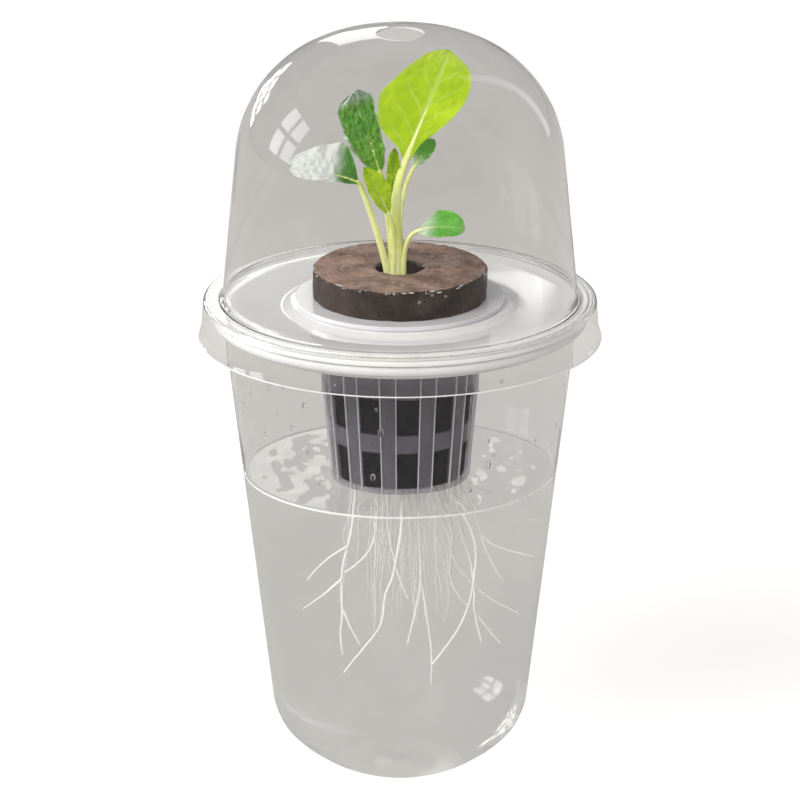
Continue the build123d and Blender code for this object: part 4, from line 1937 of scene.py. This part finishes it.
LEAVES: Tuple[Leaf, ...] = (
    Leaf(
        "tall", (-0.9, 0.0), (1.9, 0.95), (1.5, 1.2, 30.9), (12.2, 7.5, 57.6), (-0.15, -1.0, 0.25),
        -1.5, 1.6,
        ((0.0, 0.9, 0.9), (0.07, 3.2, 1.4), (0.12, 6.6, 1.7), (0.18, 9.4, 2.2), (0.29, 11.0, 4.2),
         (0.45, 12.0, 6.8), (0.6, 10.3, 8.3), (0.75, 8.1, 8.6), (0.86, 5.9, 7.6), (0.94, 4.0, 5.6),
         (1.0, 1.9, 2.5)),
        ruffle=0.35, ruffles=2.5, pucker=0.35,
    ),
    Leaf(
        "crinkled", (-2.0, 0.8), (0.9, 0.75), (-5.2, 3.4, 27.0), (-12.0, 7.0, 45.8),
        (0.35, -1.0, 0.2), 1.6, 1.4,
        ((0.0, 0.8, 0.8), (0.12, 2.9, 2.2), (0.25, 4.6, 3.0), (0.45, 6.0, 3.4), (0.7, 6.2, 4.0),
         (0.88, 5.6, 4.3), (1.0, 3.2, 2.8)),
        ruffle=0.55, ruffles=4.5, pucker=0.7, curl=3.0, blister=0.6,
        skin="dark_leaf_skin", slot=Slot.DARK_LEAF,
    ),
    Leaf(
        "side", (-3.0, -0.8), (0.9, 0.65), (-10.6, -3.8, 26.4), (-28.0, -8.0, 31.6),
        (-0.25, -0.75, 0.65), 1.8, 1.3,
        ((0.0, 0.7, 0.8), (0.1, 1.1, 4.8), (0.22, 1.6, 8.2), (0.4, 2.2, 8.0), (0.6, 2.7, 6.6),
         (0.8, 2.7, 4.8), (0.92, 2.1, 3.2), (1.0, 1.0, 1.2)),
        ruffle=0.45, ruffles=3.5, pucker=0.4, blister=0.2, handles=(0.15, 0.06),
        skin="glare_painted_leaf_skin", slot=Slot.DARK_LEAF,
    ),
    Leaf(
        "small", (0.9, -0.8), (0.7, 0.5), (4.6, -4.6, 14.0), (16.2, -9.6, 15.8), (0.1, -0.6, 0.8),
        1.2, 0.8,
        ((0.0, 0.6, 0.6), (0.12, 2.5, 1.7), (0.3, 4.5, 3.0), (0.5, 5.0, 3.5), (0.7, 4.5, 3.3),
         (0.88, 3.2, 2.6), (1.0, 1.3, 1.3)),
        ruffle=0.15, ruffles=3.0, pucker=0.2, skin="small_leaf_skin",
    ),
    Leaf(
        "young", (-1.6, -1.4), (0.6, 0.5), (-3.0, -4.2, 18.6), (-9.0, -6.4, 31.2), (0.2, -1.0, 0.4),
        0.8, 0.9,
        ((0.0, 0.6, 0.6), (0.25, 1.9, 2.4), (0.5, 2.3, 3.2), (0.75, 1.9, 2.6), (0.9, 1.2, 1.5),
         (1.0, 0.6, 0.6)),
        ruffle=0.35, ruffles=3.0, pucker=0.35, blister=0.15,
    ),
    Leaf(
        "inner", (-1.6, 0.0), (0.45, 0.4), (-2.0, 0.3, 16.0), (-1.4, 0.6, 34.0), (0.1, -1.0, 0.2),
        0.6, 0.6,
        ((0.0, 0.5, 0.5), (0.25, 1.5, 1.2), (0.5, 1.9, 1.5), (0.75, 1.8, 1.5), (0.9, 1.3, 1.1),
         (1.0, 0.7, 0.7)),
        ruffle=0.6, ruffles=7.0, pucker=0.5, blister=0.5,
    ),
    Leaf(
        "back", (0.3, 1.3), (0.7, 0.5), (3.7, 8.4, 26.9), (8.6, 11.6, 33.0), (0.0, -0.8, 0.6),
        0.9, 0.8,
        ((0.0, 0.6, 0.6), (0.25, 1.7, 1.5), (0.5, 2.2, 2.0), (0.75, 1.9, 1.8), (0.9, 1.2, 1.2),
         (1.0, 0.6, 0.6)),
        ruffle=0.3, ruffles=4.0, pucker=0.25, blister=0.1, skin="small_leaf_skin",
    ),
)


@dataclass
class Seedling:
    """Crown, stalks and blades."""

    crown_z: float = 128.5
    crown_radius: float = 4.4
    crown_height: float = 1.8
    crown_outline: Tuple[Pair, ...] = ((0.9, 0.0), (1.0, 0.5), (0.86, 1.3))
    crown_top: float = 0.5
    crown_round: float = 0.6
    crown_lumps: Triple = (0.2, 1.2, 5.0)

    def crown(self) -> Mesh:
        """Low swollen crown where the stalks meet.

        Returns:
            The mesh.
        """
        low = self.crown_z - self.crown_height
        line = [(0.0, low)] + [(self.crown_radius * r, low + z) for r, z in self.crown_outline]
        line += [(self.crown_radius * self.crown_top, self.crown_z), (0.0, self.crown_z)]
        return rough(lathe(softened(line, self.crown_round, 5), 64), *self.crown_lumps)

    def build(self, made: Finishes) -> None:
        """Builds the seedling.

        Args:
            made: Materials by name.
        """
        green = [made["stalk_skin"]]
        add_piece("crown", self.crown(), green, Body.POT, Slot.STALK, ["seedling_crown"])
        origin = Vector((0.0, 0.0, self.crown_z))
        for leaf in LEAVES:
            mesh, marks = leaf.blade(origin)
            skins, nodes = [made[leaf.skin]], [leaf.name + "_blade"]
            blade = add_piece(leaf.name + "_leaf", mesh, skins, Body.POT, leaf.slot, nodes, 75)
            layer = blade.data.uv_layers.new(name="blade")
            for loop in blade.data.loops:
                layer.data[loop.index].uv = marks[loop.vertex_index]
            mesh, nodes = leaf.stalk(origin), [leaf.name + "_stalk"]
            add_piece(leaf.name + "_stem", mesh, green, Body.POT, Slot.STALK, nodes, 75)


# Routes of each main root and its branches, as (x, y, depth below the pot) in millimetres
ROOT_ROUTES: Dict[str, List[List[Triple]]] = {
    "root_left": [
        [(-11.1, -5.2, 0), (-11.1, -5.2, 6), (-12.2, -5.5, 14.5), (-14, -5, 21),
         (-14.7, -4.5, 28.5), (-14.2, -5, 35), (-15, -5.6, 41.5), (-14.2, -5, 46)],
        [(-14.5, -4.6, 26), (-19, -5.4, 30.3), (-24, -4.4, 34)],
        [(-12.8, -5.3, 17), (-18, -6.4, 19), (-23, -6.4, 25.5)],
        [(-14.3, -4.9, 33.5), (-12.4, -6.2, 38.5), (-9.9, -6.6, 43)],
    ],
    "root_front": [
        [(0.9, -10.2, 0), (0.9, -10.2, 6), (0.2, -10, 12.5), (-0.9, -10.4, 18.6), (-1.6, -10, 23.5),
         (-3.9, -9.6, 28.6), (-4, -10, 33.8), (-5.4, -10.4, 38), (-9, -10, 42.5), (-14, -10.6, 49)],
    ],
    "root_mid": [
        [(-3.2, 4.2, 0), (-3.2, 4.2, 8), (-2.8, 4.6, 17), (-1.1, 4.2, 24.7), (0.2, 4.6, 30),
         (1.9, 4, 34)],
    ],
    "root_mid_left": [
        [(-6.2, 7.2, 0), (-6.2, 7.2, 8.4), (-5.4, 7, 17), (-8.7, 7.6, 25.2), (-14.4, 8.4, 29)],
    ],
    "root_centre": [
        [(4.7, -4.2, 0), (4.7, -4.2, 7), (4.9, -4, 17), (5.3, -4.4, 28), (3.6, -4.2, 36),
         (1.9, -4, 43.5)],
        [(5.2, -4.3, 26), (6.6, -3.4, 36), (8, -4, 45), (7.8, -4.2, 54)],
    ],
    "root_back": [
        [(10.8, 7, 0), (10.8, 7, 9), (13.4, 7.8, 17.3), (12, 8, 27), (13, 8.2, 33), (16.4, 8, 37)],
    ],
    "root_right": [
        [(12.6, -7.8, 0), (12.6, -7.8, 4), (16.5, -8.4, 8.5), (19.2, -8, 16.5), (18.4, -8.2, 25),
         (17.4, -8, 31.5), (13.8, -8.6, 40), (8, -8, 47.6)],
    ],
    "root_inner_right": [
        [(13.9, 2.2, 0), (13.9, 2.2, 7.4), (15, 2, 15.5), (17.5, 2.4, 23), (18.4, 2, 30),
         (18.3, 1.6, 37.5), (20.2, 2, 45)],
        [(18.3, 1.7, 36.4), (21.6, 3, 42), (25, 3.2, 46)],
    ],
    "root_far_back": [
        [(8.2, 11.8, 0), (8.2, 11.8, 9), (12, 12, 19), (13.6, 12.4, 27.6), (18, 12, 33),
         (23, 11.4, 37.4), (29, 10, 40)],
    ],
    "root_outer_right": [
        [(15, -3.1, 0), (15, -3.1, 3.6), (18.6, -3.2, 8.6), (20, -3, 14.8), (24, -3.2, 18.4),
         (33, -3, 20.6)],
        [(19.8, -3, 13.4), (21.4, -2, 21), (25.4, -2.2, 27)],
    ],
    "root_surface": [
        [(14, 5.8, 0), (14, 5.8, 3), (18, 6.4, 6.4), (23.4, 6.2, 9.4), (28.4, 6, 13.4),
         (35, 6.4, 14)],
    ],
}


@dataclass
class Roots:
    """Main roots with their branches, and fine strands among them."""

    pot_bottom_z: float = 76.6
    main_radius: float = 0.44
    branch_radius: float = 0.34
    tip_share: float = 0.5
    lump_size: float = 2.4
    lump_depth: float = 0.1
    fine_radius: float = 0.1
    fine_spread: Pair = (0.7, 1.3)
    fine_count: int = 54
    fine_steps: int = 7
    fine_starts: Pair = (3.0, 14.5)
    fine_lengths: Pair = (14, 40)
    fine_sway: float = 1.1
    fine_leans: Tuple[Pair, Pair] = ((-0.1, 0.35), (-0.1, 0.3))
    gather: float = 0.3

    def strand(self, curve: bpy.types.Curve, points: Sequence[Triple], radius: float) -> None:
        """Adds a tapered strand to a curve.

        Args:
            curve: The curve.
            points: Points as (x, y, depth below the pot) in millimetres.
            radius: Radius at the pot in millimetres.
        """
        spline = curve.splines.new("NURBS")
        spline.points.add(len(points) - 1)
        for i, (x, y, depth) in enumerate(points):
            share = i / (len(points) - 1)
            spline.points[i].co = (x * MM, y * MM, (self.pot_bottom_z - depth) * MM, 1.0)
            spline.points[i].radius = radius * (1 - (1 - self.tip_share) * share)
        spline.order_u = 3
        spline.use_endpoint_u = True

    def piece(
        self,
        name: str,
        strands: Sequence[Tuple[Sequence[Triple], float]],
        nodes: Sequence[str],
        skin: Material,
    ) -> None:
        """Builds one piece of root strands.

        Args:
            name: Name of the piece.
            strands: Points and radius of each strand.
            nodes: CAD nodes that the piece replaces.
            skin: Material of the piece.
        """
        curve = bpy.data.curves.new(name + "_line", "CURVE")
        curve.dimensions = "3D"
        curve.bevel_depth = MM
        curve.bevel_resolution = 2
        curve.resolution_u = 10
        curve.use_fill_caps = True
        for points, radius in strands:
            self.strand(curve, points, radius)
        holder = linked(curve.name, curve)
        bpy.context.view_layer.update()
        graph = bpy.context.evaluated_depsgraph_get()
        data = bpy.data.meshes.new_from_object(holder.evaluated_get(graph))
        data.name = name
        bpy.data.objects.remove(holder)
        for v in data.vertices:
            move = noise.turbulence_vector(v.co / (self.lump_size * MM), 2, False)
            v.co += move * (self.lump_depth * MM)
        data.materials.clear()
        data.materials.append(skin)
        piece = seat_piece(data, Body.POT, Slot.ROOT, nodes, 80)
        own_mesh(piece)

    def fine_strands(self, seed: int) -> List[Tuple[List[Triple], float]]:
        """Fine strands that hang from the pot's floor.

        Args:
            seed: Start of the random draws.

        Returns:
            Points and radius of each strand.
        """
        drawn = random.Random(seed)
        strands = []
        for _ in range(self.fine_count):
            turn = drawn.uniform(0, FULL_TURN)
            x, y = polar(drawn.uniform(*self.fine_starts), turn)
            length = drawn.uniform(*self.fine_lengths)
            leans = zip((x, y), self.fine_leans)
            lean_x, lean_y = (start * drawn.uniform(*lean) for start, lean in leans)
            points = []
            for i in range(self.fine_steps + 1):
                share = i / self.fine_steps
                sway = self.fine_sway * share
                points.append((
                    x + lean_x * share**1.5 + drawn.uniform(-sway, sway),
                    y + lean_y * share**1.5 + drawn.uniform(-sway, sway),
                    length * share,
                ))
            strands.append((points, self.fine_radius * drawn.uniform(*self.fine_spread)))
        return strands

    def build(self, made: Finishes) -> None:
        """Builds every root and the fine strands.

        Args:
            made: Materials by name.
        """
        for name, routes in ROOT_ROUTES.items():
            radii = [self.main_radius] + [self.branch_radius] * (len(routes) - 1)
            self.piece(name + "_strands", list(zip(routes, radii)), [name], made["root_skin"])
        self.piece("fine_roots", self.fine_strands(23), (), made["fine_root_skin"])


@dataclass
class Dome:
    """Clear dome cover with a vent, a shoulder, a locating ring and a flared skirt."""

    shoulder_z: float = 122.9
    rise: float = 69.5
    wall: float = 0.5
    base_radius: float = 44.845
    taper: float = 0.092
    corner_radius: float = 33.0
    crown_radius: float = 70.0
    shoulder_round: float = 1.2
    rim_radius: float = 47.395
    locator_clearance: float = 0.35
    locator_wall: float = 0.5
    locator_depth: float = 2.2
    skirt_gap: float = 0.75
    skirt_height: float = 10.1
    skirt_draft: float = 0.5
    skirt_round: float = 0.9
    skirt_top: float = 0.8
    flare_width: float = 0.8
    flare_height: float = 2.6
    vent_radius: float = 6.1
    vent_margin: float = 0.06
    cut_height: float = 0.3
    segments: int = 240

    def outline(self) -> List[Pair]:
        """Closed outline of the dome's wall.

        Returns:
            Points as radius and height.
        """
        height = self.rise + self.wall
        bell = Bell(self.base_radius, self.taper, self.corner_radius, self.crown_radius, height)
        round_z = self.wall + self.shoulder_round
        outer = bell.outline(0.0, round_z, self.vent_radius)
        inner = bell.outline(self.wall, round_z, self.vent_radius)
        inner_radius = self.base_radius - self.wall * math.hypot(1, self.taper)
        locator = self.rim_radius + self.locator_clearance
        locator_outer = locator + self.locator_wall
        skirt = locator_outer + self.skirt_gap + self.wall
        low = self.wall - self.skirt_height
        flare = low + self.flare_height
        low_radius = skirt + self.skirt_draft
        edge = low_radius + self.flare_width
        bend = (self.base_radius + self.shoulder_round, round_z)
        shoulder = arc(bend, self.shoulder_round, 180.0, 270.0, 8)
        below = [
            shoulder[-1],
            (skirt, self.wall),
            (low_radius, flare),
            (edge, low),
            (edge - self.wall, low),
            (low_radius - self.wall, flare),
            (skirt - self.wall, 0.0),
            (locator_outer, 0.0),
            (locator_outer, -self.locator_depth),
            (locator, -self.locator_depth),
            (locator, 0.0),
            (inner_radius, 0.0),
            inner[0],
        ]
        below = softened(below, self.skirt_round, 5)
        loop = outer[::-1] + shoulder[1:-1] + below + inner[1:]
        return [(r, z + self.shoulder_z) for r, z in loop]

    def build(self, made: Finishes) -> None:
        """Builds the dome, with its own materials on its skirt and on the cut edges, whose whitish
        colour is partly their frosted look and partly a painted highlight.

        Args:
            made: Materials by name.
        """
        skins = [made[f"{part}_plastic"] for part in ("clear_dome", "clear_skirt", "cut_edge")]
        mesh = lathe(self.outline(), self.segments, ring=True)
        shell = add_piece("dome_shell", mesh, skins, Body.DOME, Slot.CLEAR, ["dome_cover"], 50)
        edge_z = self.shoulder_z + self.wall - self.skirt_height + self.cut_height

        def pick(radius: float, z: float, _: float) -> int:
            """2 on the cut edges, 1 on the skirt and 0 elsewhere."""
            cut = z < edge_z or radius < self.vent_radius + self.vent_margin
            return 2 if cut else int(z < self.shoulder_z + self.skirt_top)

        paint(shell, pick)


# Stage


@dataclass
class Lamp:
    """A soft rectangular lamp that faces the planter, in panes with bars between them."""

    name: str
    direction: Triple
    distance: float
    size: Pair
    radiance: float
    colour: Colour = (1.0, 1.0, 1.0)
    panes: Tuple[int, int] = (1, 1)
    bar: float = 0.0
    mirrored: bool = True

    def build(self, target: Vector) -> None:
        """Places the panes around the lamp's middle.

        Args:
            target: What the lamp faces.
        """
        back = Vector(self.direction).normalized()
        turn = back.to_track_quat("Z", "Y")
        columns, rows = self.panes
        wide, tall = ((s - self.bar * (n - 1)) / n for s, n in zip(self.size, self.panes))
        for i in range(columns):
            for k in range(rows):
                data = bpy.data.lights.new(f"{self.name}_{i}{k}", "AREA")
                data.shape = "RECTANGLE"
                data.size, data.size_y = wide, tall
                data.energy = self.radiance * math.pi * wide * tall
                data.color = self.colour
                lamp = linked(data.name, data)
                lamp.rotation_mode = "QUATERNION"
                lamp.rotation_quaternion = turn
                across = (i - (columns - 1) / 2) * (wide + self.bar)
                up = (k - (rows - 1) / 2) * (tall + self.bar)
                lamp.location = target + back * self.distance + turn @ Vector((across, up, 0.0))
                lamp.visible_glossy = self.mirrored
                lamp.visible_transmission = self.mirrored


WARM: Colour = (1.0, 0.99, 0.96)
COOL: Colour = (0.96, 0.98, 1.0)
LAMPS: Tuple[Lamp, ...] = (
    Lamp("left_window", (-0.93, 0.10, 0.36), 2.6, (1.12, 1.32), 8.0, COOL, (2, 2), 0.14),
    Lamp("back_window", (-0.50, 0.86, 0.11), 3.6, (1.24, 0.80), 6.0, WARM, (3, 3), 0.12),
    Lamp("back_card", (-0.09, 0.959, 0.268), 3.8, (0.56, 1.15), 2.1, WARM),
    Lamp("right_strip", (0.68, 0.70, 0.50), 3.2, (0.36, 3.4), 1.4, COOL),
    Lamp("left_sun", (-0.56, -0.56, 0.61), 4.0, (2.4, 2.4), 7.3, WARM, mirrored=False),
    Lamp("front_fill", (0.30, -0.85, 0.60), 4.4, (3.6, 2.8), 1.9, mirrored=False),
)


@dataclass
class Stage:
    """Floor, world, lamps and camera."""

    target: Triple = (0.0, 0.0, 0.0964)
    camera_distance: float = 3.0
    camera_rise: float = 18.0
    lens: float = 535.5
    sensor: float = 36.0
    clip: Pair = (0.05, 60.0)
    floor_radius: float = 6.0
    floor_drop: float = 0.02
    floor_colour: Colour = (0.57, 0.55, 0.535)
    floor_roughness: float = 0.9
    floor_lift: float = 0.52
    ambient: float = 0.30
    sky_colour: Colour = (1.0, 1.0, 0.995)
    mirror_share: float = 0.1
    through_share: float = 0.25
    bounces: int = 32
    clear_bounces: int = 48
    glossy_bounces: int = 8

    def camera(self) -> None:
        """Camera at the photograph's angle."""
        data = bpy.data.cameras.new("camera")
        data.lens = self.lens
        data.sensor_width = self.sensor
        data.clip_start, data.clip_end = self.clip
        camera = linked("camera", data)
        rise = math.radians(self.camera_rise)
        back = Vector((0.0, -math.cos(rise), math.sin(rise)))
        camera.location = Vector(self.target) + back * self.camera_distance
        camera.rotation_mode = "QUATERNION"
        camera.rotation_quaternion = (-back).to_track_quat("-Z", "Y")
        bpy.context.scene.camera = camera

    def seen(self, graph: Graph) -> Socket:
        """How far a ray sees the white surroundings.

        Args:
            graph: Graph of the floor or the world.

        Returns:
            1 for camera rays, a share for glossy and transmission rays, and 0 for the others.
        """
        path = graph.add("ShaderNodeLightPath").outputs
        mirror = graph.times(path["Is Glossy Ray"], self.mirror_share)
        through = graph.times(path["Is Transmission Ray"], self.through_share)
        other = graph.maths("MAXIMUM", mirror, through)
        return graph.maths("MAXIMUM", path["Is Camera Ray"], other)

    def floor(self) -> None:
        """Pale floor that keeps the planter's shadow."""
        material, g, shader, output = start_material("pale_floor")
        g.fill(shader, {
            "Base Color": self.floor_colour,
            "Roughness": self.floor_roughness,
            "Specular IOR Level": 0.0,
        })
        lift = g.times(self.seen(g), self.floor_lift)
        glow = g.add("ShaderNodeEmission", {"Color": (1.0, 1.0, 1.0), "Strength": lift}).outputs[0]
        both = g.add("ShaderNodeAddShader", {0: shader.outputs[0], 1: glow}).outputs[0]
        g.feed(output.inputs["Surface"], both)
        disc = [(0.0, -self.floor_drop), (self.floor_radius / MM, -self.floor_drop)]
        verts, faces = lathe(disc, 96)
        data = bpy.data.meshes.new("floor")
        data.from_pydata([tuple(c * MM for c in v) for v in verts], [], faces)
        data.materials.append(material)
        floor = linked("floor", data)

    def world(self) -> None:
        """White surroundings that light the planter softly."""
        world = bpy.data.worlds.new("surroundings")
        bpy.context.scene.world = world
        world.use_nodes = True
        g = Graph(world.node_tree)
        back = next(n for n in world.node_tree.nodes if n.type == "BACKGROUND")
        part = g.times(self.seen(g), 1.0 - self.ambient)
        strength = g.maths("ADD", part, self.ambient)
        g.fill(back, {"Color": self.sky_colour, "Strength": strength})

    def build(self) -> None:
        """Builds the stage, with windows left and behind, a strip, low sun and soft fill."""
        self.camera()
        self.floor()
        self.world()
        for lamp in LAMPS:
            lamp.build(Vector(self.target))
        scene = bpy.context.scene
        scene.view_settings.view_transform = "Standard"
        scene.cycles.max_bounces = self.bounces
        scene.cycles.transmission_bounces = self.bounces
        scene.cycles.transparent_max_bounces = self.clear_bounces
        scene.cycles.glossy_bounces = self.glossy_bounces


def main() -> None:
    """Builds every piece in order."""
    logging.basicConfig(level=logging.INFO, format="%(name)s: %(message)s")
    noise.seed_set(NOISE_SEED)
    effects = Effects()
    made = {finish.name: finish.material(effects) for finish in FINISHES}
    Stage().build()
    jar = Jar()
    for part in (jar, Water(jar), Tray(jar), NetPot(), PeatDisc(), Seedling(), Roots(), Dome()):
        part.build(made)


if __name__ == "__main__":
    main()
